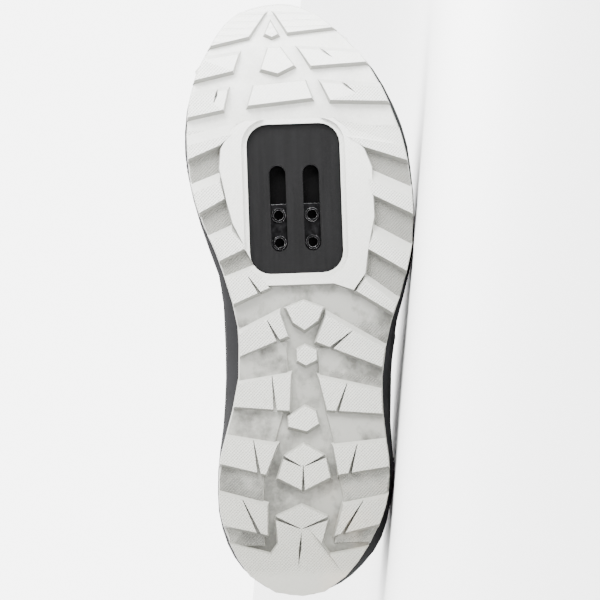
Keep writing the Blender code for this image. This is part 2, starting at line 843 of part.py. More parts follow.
def make_outsole(surface):
    tread_loop = outline_loop("tread")
    base = layered_mesh([(inset(tread_loop, EDGE_DRAFT), base_low_z), (tread_loop, base_top_z)])
    outsole = new_object("outsole", base, surface)
    frame = [plan(*corner) for corner in FRAME]
    raised = {
        "medial_ledge_form": ledge_mesh("medial"),
        "lateral_ledge_form": ledge_mesh("lateral"),
        "frame_form": raised_mesh(frame, FRAME_HEIGHT),
    }
    for name, bm in raised.items():
        apply_boolean(outsole, new_object(name, bm), "UNION")
    apply_boolean(outsole, new_object("lugs_form", lugs_mesh()), "UNION", crossing=True)
    apply_boolean(outsole, bumper_object(), "UNION")
    apply_boolean(outsole, new_object("sipe_cutter", sipes_mesh()), "DIFFERENCE")
    rim = bmesh.new()
    outline = window_corners(LIP_WIDTH)
    add_block(rim, outline, outline, raised_face_z(2 * LUG_HEIGHT), raised_face_z(LIP_HEIGHT))
    bmesh.ops.recalc_face_normals(rim, faces=rim.faces)
    apply_boolean(outsole, new_object("rim_cutter", rim), "DIFFERENCE")
    depth = LUG_HEIGHT + BASE_THICKNESS
    cutter = block_object("window_cutter", window_corners(CLEARANCE), -depth, 2 * depth)
    apply_boolean(outsole, cutter, "DIFFERENCE")
    return outsole


# Midsole and insole


def feather_loop():
    """Plan loop where the upper meets the midsole."""
    return inset(outline_loop("side"), FEATHER_INSET + bumper_room())


def midsole_levels():
    """Plan loops of the midsole's side, each with its share of the midsole's height."""
    room = bumper_room()
    step = MIDSOLE_STEP * (1 - room / (BUMPER_WALL + BUMPER_GAP))
    low = inset(outline_loop("tread"), room)
    top = feather_loop()
    middle = inset(low + GROOVE_SHARE * (top - low), -step)
    return [(low, 0.0), (middle, 0.5), (inset(top, -step / 2), 0.82), (top, 1.0)]


def at_share(share):
    return lambda x: midsole_z(x, share)


def make_midsole(surface):
    levels = [(loop, at_share(share)) for loop, share in midsole_levels()]
    midsole = new_object("midsole", layered_mesh(levels), surface)
    x_low, x_high, y_low, y_high = nut_plate_edges()
    gap = POCKET_SIDE_GAP
    travel = nut_travel()
    corners = rounded_rectangle(
        x_low - gap, x_high + travel + gap, y_low - gap, y_high + gap, NUT_PLATE_CORNER
    )
    floor = float(midsole_z(PLATE_CENTRE_X, 0.0))
    depth = NUT_PLATE_THICKNESS + CLEARANCE
    pocket = block_object("pocket_cutter", corners, floor - depth, floor + depth)
    apply_boolean(midsole, pocket, "DIFFERENCE")
    return midsole


def make_insole(surface):
    loop = inset(feather_loop(), WALL + INSOLE_GAP)
    lift = WALL + INSOLE_LIFT
    levels = [
        (loop, lambda x: feather_z(x) + lift),
        (loop, lambda x: feather_z(x) + lift + INSOLE_THICKNESS),
    ]
    return new_object("insole", layered_mesh(levels), surface)


# Cleat plate and nut plate


def plate_back_z():
    return float(midsole_z(PLATE_CENTRE_X, 0.0)) - CLEARANCE


def slot_lines():
    """The middle of each slot across the shoe."""
    return [PLATE_CENTRE_Y - SLOT_SPACING / 2, PLATE_CENTRE_Y + SLOT_SPACING / 2]


def make_cleat_plate(surface):
    half_length, half_width = PLATE_LENGTH / 2, PLATE_WIDTH / 2
    corners = rounded_rectangle(
        PLATE_CENTRE_X - half_length,
        PLATE_CENTRE_X + half_length,
        PLATE_CENTRE_Y - half_width,
        PLATE_CENTRE_Y + half_width,
        PLATE_CORNER,
    )
    back = plate_back_z()
    plate = block_object("cleat_plate", corners, back - PLATE_THICKNESS, back, surface)
    for i, y in enumerate(slot_lines()):
        slot = rounded_rectangle(
            SLOT_CENTRE_X - SLOT_LENGTH / 2,
            SLOT_CENTRE_X + SLOT_LENGTH / 2,
            y - SLOT_WIDTH / 2,
            y + SLOT_WIDTH / 2,
            SLOT_WIDTH / 2 - CLEARANCE / 10,
        )
        low, high = back - 2 * PLATE_THICKNESS, back + PLATE_THICKNESS
        apply_boolean(plate, block_object(f"slot_cutter_{i}", slot, low, high), "DIFFERENCE")
    return plate


def socket_places():
    """Middle of each socket at rest, with the rear pair close to the end of the slots."""
    rear = SLOT_CENTRE_X - SLOT_LENGTH / 2 + SOCKET_RADIUS + NUT_END_GAP
    return [(x, y) for x in (rear, rear + SOCKET_SPACING) for y in slot_lines()]


def nut_travel():
    """How far the nut plate slides forward before its sockets reach the end of the slots."""
    front = max(x for x, y in socket_places()) + SOCKET_RADIUS
    return SLOT_CENTRE_X + SLOT_LENGTH / 2 - front - NUT_END_GAP


def nut_plate_edges():
    places = socket_places()
    reach = SOCKET_RADIUS + NUT_PLATE_MARGIN
    xs, ys = [x for x, y in places], [y for x, y in places]
    return min(xs) - reach, max(xs) + reach, min(ys) - reach, max(ys) + reach


def add_cylinder(bm, x, y, radius, low, high):
    turns = [2 * math.pi * k / SOCKET_SIDES for k in range(SOCKET_SIDES)]
    corners = [(x + radius * math.cos(a), y + radius * math.sin(a)) for a in turns]
    add_block(bm, corners, corners, flat(low), flat(high))


def make_nut_plate(surface):
    """Steel plate with its origin on the slide's line, midway between its four sockets."""
    front = float(midsole_z(PLATE_CENTRE_X, 0.0))
    back = front + NUT_PLATE_THICKNESS
    x_low, x_high, y_low, y_high = nut_plate_edges()
    centre = Vector(((x_low + x_high) / 2, (y_low + y_high) / 2, (front + back) / 2))
    corners = rounded_rectangle(x_low, x_high, y_low, y_high, NUT_PLATE_CORNER)
    plate = block_object("cleat_nut_plate", corners, front, back, surface)
    bosses, bores = bmesh.new(), bmesh.new()
    for x, y in socket_places():
        add_cylinder(bosses, x, y, SOCKET_RADIUS, front - CLEARANCE - SOCKET_HEIGHT, back - CLEARANCE)
        add_cylinder(bores, x, y, SOCKET_BORE_RADIUS, front - PLATE_THICKNESS, back + PLATE_THICKNESS)
    for bm, name, operation in ((bosses, "boss_form", "UNION"), (bores, "bore_cutter", "DIFFERENCE")):
        bmesh.ops.recalc_face_normals(bm, faces=bm.faces)
        operand = new_object(name, bm)
        operand.data.transform(Matrix.Translation(-centre))
        operand.location = centre
        apply_boolean(plate, operand, operation)
    plate.data.transform(Matrix.Translation(-centre))
    plate.location = centre
    return plate


# Upper


def rib_table():
    """Feet, tops and control points of all ribs, in the order of the plan loop."""
    alongs = loop_alongs()
    feet_plan = feather_loop()
    normals = loop_normals(feet_plan)
    feet = np.column_stack([feet_plan, feather_z(feet_plan[:, 0])])
    side = np.where(np.arange(len(alongs)) <= PAIRS, -1.0, 1.0)
    top_x = LENGTH * RIBS.at("along", alongs)
    middle_y = TREAD_WIDTH * MIDDLE.at("across", top_x / LENGTH)
    top_y = middle_y + side * TREAD_WIDTH * RIBS.at("half_gap", alongs)
    rise = UPPER_HEIGHT * RIBS.at("rise", alongs)
    tops = np.column_stack([top_x, top_y, feather_z(top_x) + rise])
    out = np.column_stack([normals, np.zeros(len(alongs))])
    up = np.array([0.0, 0.0, 1.0])
    height = (tops - feet)[:, 2]
    flare = TREAD_WIDTH * RIBS.at("flare", alongs)
    low = feet + out * flare[:, None] + up * (BELLY_SHARE * height)[:, None]
    shoulder = TREAD_WIDTH * RIBS.at("shoulder", alongs)
    fall = UPPER_HEIGHT * RIBS.at("fall", alongs)
    high = tops + out * shoulder[:, None] - up * fall[:, None]
    return feet, low, high, tops


def rib_point(k, share):
    """Point on rib k, from its foot at 0 to its top at 1."""
    feet, low, high, tops = rib_table()
    return bezier(feet[k], low[k], high[k], tops[k], share)


def bezier(a, b, c, d, t):
    return a * (1 - t) ** 3 + b * 3 * t * (1 - t) ** 2 + c * 3 * t**2 * (1 - t) + d * t**3


def rib_shares():
    """Rows up a rib, closer together at its foot and its top."""
    even = np.linspace(0.0, 1.0, RIB_ROWS + 1)
    return even + ROW_CROWDING * even * (1 - even) * (even - 0.5)


def make_upper(surface):
    feet, low, high, tops = rib_table()
    margin_plan = inset(feather_loop(), LASTING_MARGIN)
    count = len(feet)
    gaps = RIBS.at("half_gap", loop_alongs())
    bm = bmesh.new()
    columns = []
    for k in range(count):
        x, y = margin_plan[k]
        points = [np.array([x, y, feather_z(x)])]
        points += [bezier(feet[k], low[k], high[k], tops[k], t) for t in rib_shares()]
        columns.append([bm.verts.new(point) for point in points])
    for k in range(PAIRS + 1, count):
        if gaps[k] < 1e-9:
            twin = columns[count - k]
            bm.verts.remove(columns[k][-1])
            columns[k][-1] = twin[-1]
    for k in range(count):
        column, following = columns[k], columns[(k + 1) % count]
        for r in range(len(column) - 1):
            bm.faces.new((column[r], following[r], following[r + 1], column[r + 1]))
    orient_outward(bm, Vector((1.0, 0.0, 0.0)))
    upper = new_object("upper", bm, surface)
    thicken(upper, WALL, -1.0)
    return upper


def section(foot):
    """Dense curve over the upper from the medial to the lateral foot at one place along it.

    Where the throat is open the curve bridges it smoothly.
    """
    feet, low, high, tops = RIB_DATA
    alongs = pair_alongs()
    place = np.interp(1 - foot, 1 - alongs, np.arange(PAIRS + 1))
    shares = np.linspace(0.0, 1.0, 25)
    curves = []
    for side in (1, -1):
        first = int(np.clip(math.floor(place), 0, PAIRS - 1))
        part = place - first
        ends = []
        for data in (feet, low, high, tops):
            near = data[(side * first) % len(data)]
            far = data[(side * (first + 1)) % len(data)]
            ends.append(near + (far - near) * part)
        curves.append(np.array([bezier(*ends, t) for t in shares]))
    medial, lateral = curves
    span = np.linalg.norm(lateral[-1] - medial[-1])
    if span < 1e-6:
        return np.concatenate([medial, lateral[-2::-1]])
    leave = medial[-1] - medial[-2]
    arrive = lateral[-1] - lateral[-2]
    a = medial[-1] + leave / np.linalg.norm(leave) * span / 3
    b = lateral[-1] + arrive / np.linalg.norm(arrive) * span / 3
    bridge = [bezier(medial[-1], a, b, lateral[-1], t) for t in np.linspace(0.0, 1.0, 13)[1:-1]]
    return np.concatenate([medial, np.array(bridge), lateral[::-1]])


def over_upper(foot, distance):
    """Point on the upper's form at a distance over it from the ridge, lateral positive."""
    curve = section(foot)
    steps = np.linalg.norm(np.diff(curve, axis=0), axis=1)
    length = np.concatenate([[0.0], np.cumsum(steps)])
    middle = MIDDLE.at("across", curve[:, 0] / LENGTH) * TREAD_WIDTH
    top = np.argmax(curve[:, 1] > middle)
    gap = (middle - curve[:, 1])[top - 1] / ((curve[:, 1] - middle)[top] + (middle - curve[:, 1])[top - 1])
    centre = length[top - 1] + gap * steps[top - 1]
    return np.array([np.interp(centre + distance, length, curve[:, i]) for i in range(3)])


def lifted_over_upper(foot, distance, lift):
    """The same point moved off the form by a height, outward positive."""
    step = 0.002
    along = over_upper(foot + step / LENGTH, distance) - over_upper(foot - step / LENGTH, distance)
    over = over_upper(foot, distance + step) - over_upper(foot, distance - step)
    normal = np.cross(along, over)
    return over_upper(foot, distance) + normal / np.linalg.norm(normal) * lift


def grid_object(name, rows, surface, thickness, offset, outward):
    """Sheet through rows of points, given a thickness."""
    bm = bmesh.new()
    made = [[bm.verts.new(point) for point in row] for row in rows]
    for row, following in zip(made, made[1:]):
        for j in range(len(row) - 1):
            bm.faces.new((row[j], following[j], following[j + 1], row[j + 1]))
    orient_outward(bm, outward)
    obj = new_object(name, bm, surface)
    thicken(obj, thickness, offset)
    return obj


def make_tongue(surface):
    """Padded slab under the throat, from beneath the vamp to above the collar."""
    depth = -(WALL + TONGUE_GAP)
    rows = []
    centre = TONGUE_HALF_COLUMNS
    places = [(j - centre) / centre for j in range(2 * centre + 1)]
    for foot in np.linspace(*TONGUE_SPAN, TONGUE_ROWS):
        half = TREAD_WIDTH * float(RIBS.at("half_gap", foot)) + TONGUE_LAP
        half = min(half, TONGUE_HALF_WIDTH)
        rows.append([lifted_over_upper(foot, half * place, depth) for place in places])
    last = np.array(rows[-1])
    lean = last[centre] - np.array(rows[-2])[centre]
    lean = lean / np.linalg.norm(lean)
    for share in TONGUE_TOP_ROWS:
        back = lean * TONGUE_RISE * share
        up = np.array([0.0, 0.0, 1.0]) * TONGUE_RISE * TONGUE_LIFT * share**2
        narrow = 1 - TONGUE_TAPER * share**3
        row = last + back + up
        row[:, 1] = row[centre, 1] + (row[:, 1] - row[centre, 1]) * narrow
        rows.append(list(row))
    return grid_object("tongue", rows, surface, TONGUE_THICKNESS, -1.0, Vector((0.0, 0.0, 1.0)))


def make_strap(name, strap, surface):
    """Strap that follows the upper over the throat and narrows to its lateral tip."""
    rows = []
    count = round((strap["end"] - strap["start"]) / STRAP_PITCH)
    for distance in np.linspace(strap["start"], strap["end"], count + 1):
        side = "medial" if distance < 0 else "lateral"
        reach = abs(distance / (strap["start"] if distance < 0 else strap["end"]))
        foot = strap["ridge"] + (strap[side] - strap["ridge"]) * reach
        narrow = max(0.0, (reach - STRAP_TIP_START) / (1 - STRAP_TIP_START)) ** 2
        if side == "medial":
            narrow = 0.0
        width = STRAP_WIDTH + (STRAP_TIP_WIDTH - STRAP_WIDTH) * narrow
        row = []
        for j in range(4):
            place = foot + (j / 3 - 0.5) * width / LENGTH
            row.append(lifted_over_upper(place, distance, STRAP_GAP))
        rows.append(row)
    return grid_object(name, rows, surface, STRAP_THICKNESS, 1.0, Vector((0.0, 0.0, 1.0)))


# Resting pose


def world_triangles(obj):
    """Corners of the finished solid's triangles."""
    graph = bpy.context.evaluated_depsgraph_get()
    mesh = obj.evaluated_get(graph).to_mesh()
    mesh.calc_loop_triangles()
    points = np.array([obj.matrix_world @ vertex.co for vertex in mesh.vertices])
    corners = np.array([triangle.vertices for triangle in mesh.loop_triangles])
    return points[corners]


def volume_and_centre(triangles):
    a, b, c = triangles[:, 0], triangles[:, 1], triangles[:, 2]
    volumes = np.einsum("ij,ij->i", a, np.cross(b, c)) / 6
    return volumes.sum(), (volumes[:, None] * (a + b + c) / 4).sum(axis=0) / volumes.sum()


def resting_face(points, centre):
    """Normal of the hull's face under the centre of mass that faces the outer side most."""
    bm = bmesh.new()
    for point in points:
        bm.verts.new(point)
    bmesh.ops.convex_hull(bm, input=bm.verts, use_existing_faces=False)
    bmesh.ops.recalc_face_normals(bm, faces=bm.faces)
    best = None
    for face in bm.faces:
        normal = face.normal.copy()
        corners = [vertex.co for vertex in face.verts]
        foot = centre + normal * (corners[0] - centre).dot(normal)
        edges = zip(corners, corners[1:] + corners[:1])
        held = all((b - a).cross(foot - a).dot(normal) >= 0 for a, b in edges)
        if held and (best is None or normal.y > best.y):
            best = normal
    bm.free()
    return best


def resting_pose(pieces):
    """Matrix that lays the shoe on its outer side, its box's bottom centre at the origin."""
    mass, moment, points = 0.0, np.zeros(3), []
    for piece in pieces:
        triangles = world_triangles(piece)
        volume, centre = volume_and_centre(triangles)
        mass += volume * DENSITY[piece.name]
        moment += volume * DENSITY[piece.name] * centre
        points.append(triangles.reshape(-1, 3))
    points = np.unique(np.concatenate(points).round(7), axis=0)
    down = resting_face(points, Vector(moment / mass))
    up = -down
    toe = Vector((1.0, 0.0, 0.0))
    toe = (toe - up * toe.dot(up)).normalized()
    turn = Matrix((toe, up.cross(toe), up))
    placed = points @ np.array(turn).T
    low, high = placed.min(axis=0), placed.max(axis=0)
    shift = Vector((-(low[0] + high[0]) / 2, -(low[1] + high[1]) / 2, -low[2]))
    return Matrix.Translation(shift) @ turn.to_4x4()


def clear_scene():
    for obj in list(bpy.data.objects):
        bpy.data.objects.remove(obj, do_unlink=True)


clear_scene()
RIB_DATA = rib_table()

RUBBER = material("white_rubber", (0.80, 0.79, 0.75), 0.55)
FOAM = material("dark_foam", (0.035, 0.035, 0.037), 0.75)
NYLON = material("black_nylon", (0.045, 0.045, 0.047), 0.50)
STEEL = material("zinc_plated_steel", (0.62, 0.63, 0.64), 0.32, 1.0)
SHELL = material("grey_synthetic", (0.10, 0.10, 0.105), 0.60)
PADDING = material("black_padding", (0.03, 0.03, 0.032), 0.85)
FOOTBED = material("footbed", (0.06, 0.06, 0.065), 0.90)
STRAP = material("black_strap", (0.03, 0.03, 0.03), 0.65)

PIECES = [
    make_outsole(RUBBER),
    make_midsole(FOAM),
    make_cleat_plate(NYLON),
    make_nut_plate(STEEL),
    make_upper(SHELL),
    make_tongue(PADDING),
    make_insole(FOOTBED),
    make_strap("strap_forefoot", FOREFOOT_STRAP, STRAP),
    make_strap("strap_instep", INSTEP_STRAP, STRAP),
]
bpy.context.view_layer.update()

pose = bpy.data.objects.new("shoe_pose", None)
bpy.context.scene.collection.objects.link(pose)
pose_matrix = resting_pose(PIECES)
for obj in list(bpy.data.objects):
    if obj is not pose:
        obj.parent = pose
pose.matrix_world = pose_matrix
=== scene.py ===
"""Looks of an off-road cycling shoe that lies on its outer side.

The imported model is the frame. Each operator in the sidebar makes one piece of the shoe, or a group
of like pieces, in the shoe's own sizes, and lays it on its side with the frame.
"""

import math

import bpy
import numpy as np
from mathutils import Matrix, Vector


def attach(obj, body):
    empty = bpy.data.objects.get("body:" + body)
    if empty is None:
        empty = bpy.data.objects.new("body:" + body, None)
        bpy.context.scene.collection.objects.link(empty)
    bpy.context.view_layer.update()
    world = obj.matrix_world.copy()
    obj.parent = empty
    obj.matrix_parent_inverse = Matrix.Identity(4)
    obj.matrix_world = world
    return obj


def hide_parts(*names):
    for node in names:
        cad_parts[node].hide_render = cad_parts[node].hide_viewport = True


bl_info = {
    "name": "Cycling shoe",
    "version": (1, 0, 0),
    "blender": (4, 5, 0),
    "location": "View3D > Sidebar > Shoe",
    "description": "Makes the pieces of an off-road cycling shoe on its packed frame",
    "category": "Object",
}

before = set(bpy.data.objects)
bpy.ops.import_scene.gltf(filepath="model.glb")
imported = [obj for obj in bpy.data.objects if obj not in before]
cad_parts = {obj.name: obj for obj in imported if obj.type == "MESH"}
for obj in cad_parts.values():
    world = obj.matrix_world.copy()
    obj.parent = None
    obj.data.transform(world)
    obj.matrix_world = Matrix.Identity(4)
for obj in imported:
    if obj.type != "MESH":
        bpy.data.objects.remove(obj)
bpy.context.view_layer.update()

# The shoe's own axes, +X to the toe, +Y to the outer side and +Z up from the ground, and how they
# lie in the frame with the shoe on its side
LIE = Matrix(
    (
        (0.993379, 0.114882, 0.001007, -0.124290),
        (0.0, -0.008763, 0.999962, -0.059948),
        (0.114886, -0.993340, -0.008705, 0.034950),
        (0.0, 0.0, 0.0, 1.0),
    )
)
TO_SHOE = LIE.inverted()

# Sizes that the source of the solids has as well
LENGTH = 0.250
TREAD_WIDTH = 0.094
UPPER_HEIGHT = 0.066
TOE_SPRING = 0.017
HEEL_BEVEL = 0.007
ARCH_RISE = 0.004
CLEARANCE = 0.0003
LUG_HEIGHT = 0.0042
BASE_THICKNESS = 0.0026
BUMPER_ROOM = 0.0024
BUMPER_ROOM_SPANS = ((0.845, 0.920), (0.900, 0.955))
MIDSOLE_HEEL = 0.0155
FEATHER_INSET = 0.0012
PLATE_CENTRE = (0.167, 0.0028)
PLATE_SIZE = (0.062, 0.0385)

# Steps from the toe to the heel round one side, and the share of a rib's height at which it bellies
PAIRS = 36
BELLY_SHARE = 0.40

# Widths of the rounds on the edges of all but the outsole
ROUND = {
    "midsole": 0.0004,
    "cleat_plate": 0.0003,
    "nut_plate": 0.00022,
    "panel": 0.00018,
    "tongue": 0.0016,
    "insole": 0.0008,
    "strap": 0.0004,
}

# Distances under which points are one, in a copied solid and along the seams of a new piece
MERGE_DISTANCE = 0.00001
WELD_DISTANCE = 0.00002

# Angle in degrees under which two faces of a copied solid are one
FLAT_ANGLE = 0.6


# The shoe's form


def slopes(keys, values):
    """Slopes that keep a curve through the rows smooth and free of overshoot."""
    secants = np.diff(values) / np.diff(keys)
    result = np.gradient(values, keys)
    limit = 3 * np.minimum(abs(secants[:-1]), abs(secants[1:]))
    same_way = secants[:-1] * secants[1:] > 0
    result[1:-1] = np.clip(result[1:-1], -limit, limit) * same_way
    return result


class Table:
    """Rows of shares with named columns. The first column runs along the shoe, 1 at the toe.

    With round ends a curve is drawn over the angle of a circle on the length, so that a width
    closes round at the toe and the heel.
    """

    def __init__(self, columns, rows, round_ends=False):
        self.columns = dict(zip(columns, np.array(rows, float).T))
        self.round_ends = round_ends
        self.keys = self.key(self.columns[columns[0]])

    def key(self, along):
        along = np.clip(along, 0.0, 1.0)
        return np.arccos(2 * along - 1) if self.round_ends else 1 - along

    def at(self, name, along):
        values = self.columns[name]
        slope = slopes(self.keys, values)
        key = np.clip(self.key(np.asarray(along, float)), self.keys[0], self.keys[-1])
        i = np.clip(np.searchsorted(self.keys, key) - 1, 0, len(values) - 2)
        span = self.keys[i + 1] - self.keys[i]
        t = (key - self.keys[i]) / span
        rise = 3 * t**2 - 2 * t**3
        bend = slope[i] * (t - 2 * t**2 + t**3) + slope[i + 1] * (t**3 - t**2)
        return values[i] * (1 - rise) + values[i + 1] * rise + bend * span


# Plan of the tread and of the shoe's side, as shares of the tread's width from the shoe's axis
OUTLINE = Table(
    ("along", "medial_tread", "lateral_tread", "medial_side", "lateral_side"),
    [
        (1.000, -0.011, -0.011, -0.011, -0.011),
        (0.980, -0.220, 0.150, -0.222, 0.155),
        (0.960, -0.273, 0.213, -0.275, 0.225),
        (0.920, -0.340, 0.319, -0.345, 0.333),
        (0.880, -0.394, 0.394, -0.399, 0.411),
        (0.820, -0.434, 0.468, -0.445, 0.493),
        (0.760, -0.443, 0.521, -0.461, 0.545),
        (0.700, -0.433, 0.548, -0.443, 0.560),
        (0.640, -0.394, 0.557, -0.409, 0.567),
        (0.580, -0.330, 0.543, -0.365, 0.557),
        (0.520, -0.282, 0.503, -0.319, 0.526),
        (0.460, -0.246, 0.445, -0.315, 0.481),
        (0.400, -0.243, 0.406, -0.315, 0.453),
        (0.340, -0.266, 0.390, -0.324, 0.443),
        (0.280, -0.311, 0.395, -0.340, 0.435),
        (0.220, -0.351, 0.411, -0.360, 0.441),
        (0.160, -0.355, 0.397, -0.367, 0.426),
        (0.120, -0.336, 0.360, -0.355, 0.404),
        (0.080, -0.297, 0.300, -0.323, 0.362),
        (0.040, -0.234, 0.220, -0.250, 0.272),
        (0.016, -0.155, 0.145, -0.165, 0.185),
        (0.000, 0.005, 0.005, 0.005, 0.005),
    ],
    round_ends=True,
)

# Side view of the sole: toe spring, heel bevel and arch as shares of their sizes, then the
# thickness of the lugs and of the midsole as shares of theirs
PROFILE = Table(
    ("along", "spring", "bevel", "arch", "lug", "midsole"),
    [
        (1.00, 1.00, 0.00, 0.00, 0.55, 0.36),
        (0.97, 0.74, 0.00, 0.00, 0.65, 0.37),
        (0.94, 0.50, 0.00, 0.00, 0.75, 0.38),
        (0.90, 0.26, 0.00, 0.00, 0.88, 0.39),
        (0.85, 0.07, 0.00, 0.00, 1.00, 0.41),
        (0.81, 0.00, 0.00, 0.00, 1.00, 0.43),
        (0.70, 0.00, 0.00, 0.00, 1.00, 0.47),
        (0.56, 0.00, 0.00, 0.00, 1.00, 0.58),
        (0.50, 0.00, 0.00, 0.00, 1.00, 0.66),
        (0.46, 0.00, 0.00, 0.30, 1.00, 0.73),
        (0.40, 0.00, 0.00, 0.80, 1.00, 0.82),
        (0.34, 0.00, 0.00, 1.00, 1.00, 0.89),
        (0.28, 0.00, 0.00, 0.60, 1.00, 0.95),
        (0.22, 0.00, 0.00, 0.10, 1.00, 0.98),
        (0.16, 0.00, 0.00, 0.00, 1.00, 1.00),
        (0.12, 0.00, 0.08, 0.00, 0.95, 1.00),
        (0.08, 0.00, 0.25, 0.00, 0.90, 0.99),
        (0.04, 0.00, 0.55, 0.00, 0.80, 0.96),
        (0.00, 0.00, 1.00, 0.00, 0.70, 0.92),
    ],
)

# Ribs of the upper, by where they leave the sole. Each ends on the vamp's ridge, the throat's
# edge or the collar: that end's place along the shoe, its distance from the middle plane and its
# rise over the feather line, then the bulge at the foot, the shoulder and the fall at the top
RIBS = Table(
    ("foot", "along", "half_gap", "rise", "flare", "shoulder", "fall"),
    [
        (1.000, 0.930, 0.000, 0.440, 0.042, 0.160, 0.050),
        (0.980, 0.922, 0.000, 0.462, 0.044, 0.165, 0.040),
        (0.960, 0.911, 0.000, 0.490, 0.048, 0.172, 0.030),
        (0.920, 0.888, 0.000, 0.540, 0.054, 0.185, 0.015),
        (0.880, 0.858, 0.000, 0.592, 0.060, 0.200, 0.008),
        (0.820, 0.812, 0.000, 0.650, 0.063, 0.212, 0.00),
        (0.760, 0.760, 0.000, 0.708, 0.064, 0.215, 0.00),
        (0.700, 0.704, 0.000, 0.765, 0.062, 0.210, 0.01),
        (0.652, 0.652, 0.000, 0.826, 0.060, 0.200, 0.02),
        (0.600, 0.600, 0.085, 0.865, 0.055, 0.170, 0.06),
        (0.540, 0.548, 0.125, 0.925, 0.050, 0.140, 0.10),
        (0.480, 0.496, 0.150, 0.985, 0.045, 0.120, 0.14),
        (0.420, 0.444, 0.170, 1.050, 0.040, 0.100, 0.18),
        (0.380, 0.408, 0.205, 1.090, 0.038, 0.080, 0.22),
        (0.340, 0.360, 0.270, 1.030, 0.036, 0.050, 0.24),
        (0.280, 0.288, 0.300, 0.930, 0.034, 0.030, 0.25),
        (0.220, 0.220, 0.305, 0.835, 0.032, 0.025, 0.25),
        (0.160, 0.160, 0.290, 0.820, 0.032, 0.020, 0.25),
        (0.100, 0.104, 0.235, 0.860, 0.032, 0.020, 0.25),
        (0.050, 0.060, 0.150, 0.930, 0.030, 0.020, 0.25),
        (0.016, 0.036, 0.075, 0.985, 0.030, 0.020, 0.25),
        (0.000, 0.024, 0.000, 1.000, 0.028, 0.020, 0.25),
    ],
    round_ends=True,
)

# Middle plane of the upper, as a share of the tread's width from the shoe's axis
MIDDLE = Table(
    ("along", "across"),
    [
        (1.00, -0.011),
        (0.90, -0.020),
        (0.80, 0.000),
        (0.70, 0.030),
        (0.55, 0.040),
        (0.40, 0.048),
        (0.20, 0.038),
        (0.00, 0.005),
    ],
)


def curve_share(share):
    """Smooth step from 0 to 1."""
    share = np.clip(share, 0.0, 1.0)
    return share**2 * (3 - 2 * share)


def lug_face_z(x):
    along = x / LENGTH
    rise = TOE_SPRING * PROFILE.at("spring", along) + HEEL_BEVEL * PROFILE.at("bevel", along)
    return rise + ARCH_RISE * PROFILE.at("arch", along)


def base_low_z(x):
    return lug_face_z(x) + LUG_HEIGHT * PROFILE.at("lug", x / LENGTH)


def midsole_z(x, share):
    height = MIDSOLE_HEEL * PROFILE.at("midsole", x / LENGTH)
    return base_low_z(x) + BASE_THICKNESS + CLEARANCE + share * height


def feather_z(x):
    return midsole_z(x, 1.0) + CLEARANCE


def loop_alongs():
    angle = np.linspace(0.0, math.pi, PAIRS + 1)
    along = (1 + np.cos(angle)) / 2
    return np.concatenate([along, along[-2:0:-1]])


def outline_loop(kind):
    """Closed plan loop: toe tip, inner side, heel tip, outer side."""
    along = loop_alongs()
    half = PAIRS + 1
    across = np.concatenate(
        [
            OUTLINE.at("medial_" + kind, along[:half]),
            OUTLINE.at("lateral_" + kind, along[half:]),
        ]
    )
    return np.stack([LENGTH * along, TREAD_WIDTH * across], axis=1)


def loop_normals(loop):
    way = np.roll(loop, -1, axis=0) - np.roll(loop, 1, axis=0)
    normals = np.stack([-way[:, 1], way[:, 0]], axis=1)
    return normals / np.linalg.norm(normals, axis=1)[:, None]


def inset(loop, distance):
    return loop - loop_normals(loop) * np.reshape(distance, (-1, 1))


def bumper_room():
    """Depth that the midsole and the upper leave for the outsole's toe bumper."""
    along = loop_alongs()
    outer = (np.arange(len(along)) > PAIRS).astype(int)
    start, full = np.array(BUMPER_ROOM_SPANS)[outer].T
    return BUMPER_ROOM * curve_share((along - start) / (full - start))


def feather_loop():
    """Plan loop where the upper meets the midsole."""
    return inset(outline_loop("side"), FEATHER_INSET + bumper_room())


def rib_controls():
    """Control points of the ribs that run from the sole to the collar, the throat or the ridge."""
    alongs = loop_alongs()
    plan = feather_loop()
    normals = loop_normals(plan)
    feet = np.column_stack([plan, feather_z(plan[:, 0])])
    side = np.where(np.arange(len(alongs)) <= PAIRS, -1.0, 1.0)
    top_x = LENGTH * RIBS.at("along", alongs)
    top_y = TREAD_WIDTH * (
        MIDDLE.at("across", top_x / LENGTH) + side * RIBS.at("half_gap", alongs)
    )
    rise = UPPER_HEIGHT * RIBS.at("rise", alongs)
    tops = np.column_stack([top_x, top_y, feather_z(top_x) + rise])
    out = np.column_stack([normals, np.zeros(len(alongs))])
    up = np.array([0.0, 0.0, 1.0])
    height = (tops - feet)[:, 2]
    low = feet + out * TREAD_WIDTH * RIBS.at("flare", alongs)[:, None]
    low = low + up * (BELLY_SHARE * height)[:, None]
    high = tops + out * TREAD_WIDTH * RIBS.at("shoulder", alongs)[:, None]
    high = high - up * (UPPER_HEIGHT * RIBS.at("fall", alongs))[:, None]
    return np.stack([feet, low, high, tops])


RIB_CONTROLS = rib_controls()


def on_upper(turn, share):
    """Points on the outside of the upper.

    A turn of 0 is the toe, 0.25 the inner side, 0.5 the heel and 0.75 the outer side. A share of 0
    is at the sole and 1 at the top.
    """
    count = RIB_CONTROLS.shape[1]
    place = np.asarray(turn, float) * count
    first = np.floor(place).astype(int)
    t = (place - first)[..., None]
    before, near, far, after = (RIB_CONTROLS[:, (first + step) % count] for step in (-1, 0, 1, 2))
    bend = 2 * before - 5 * near + 4 * far - after
    twist = 3 * near - before - 3 * far + after
    a, b, c, d = 0.5 * (2 * near + (far - before) * t + bend * t**2 + twist * t**3)
    s = np.asarray(share, float)[..., None]
    return a * (1 - s) ** 3 + b * 3 * s * (1 - s) ** 2 + c * 3 * s**2 * (1 - s) + d * s**3


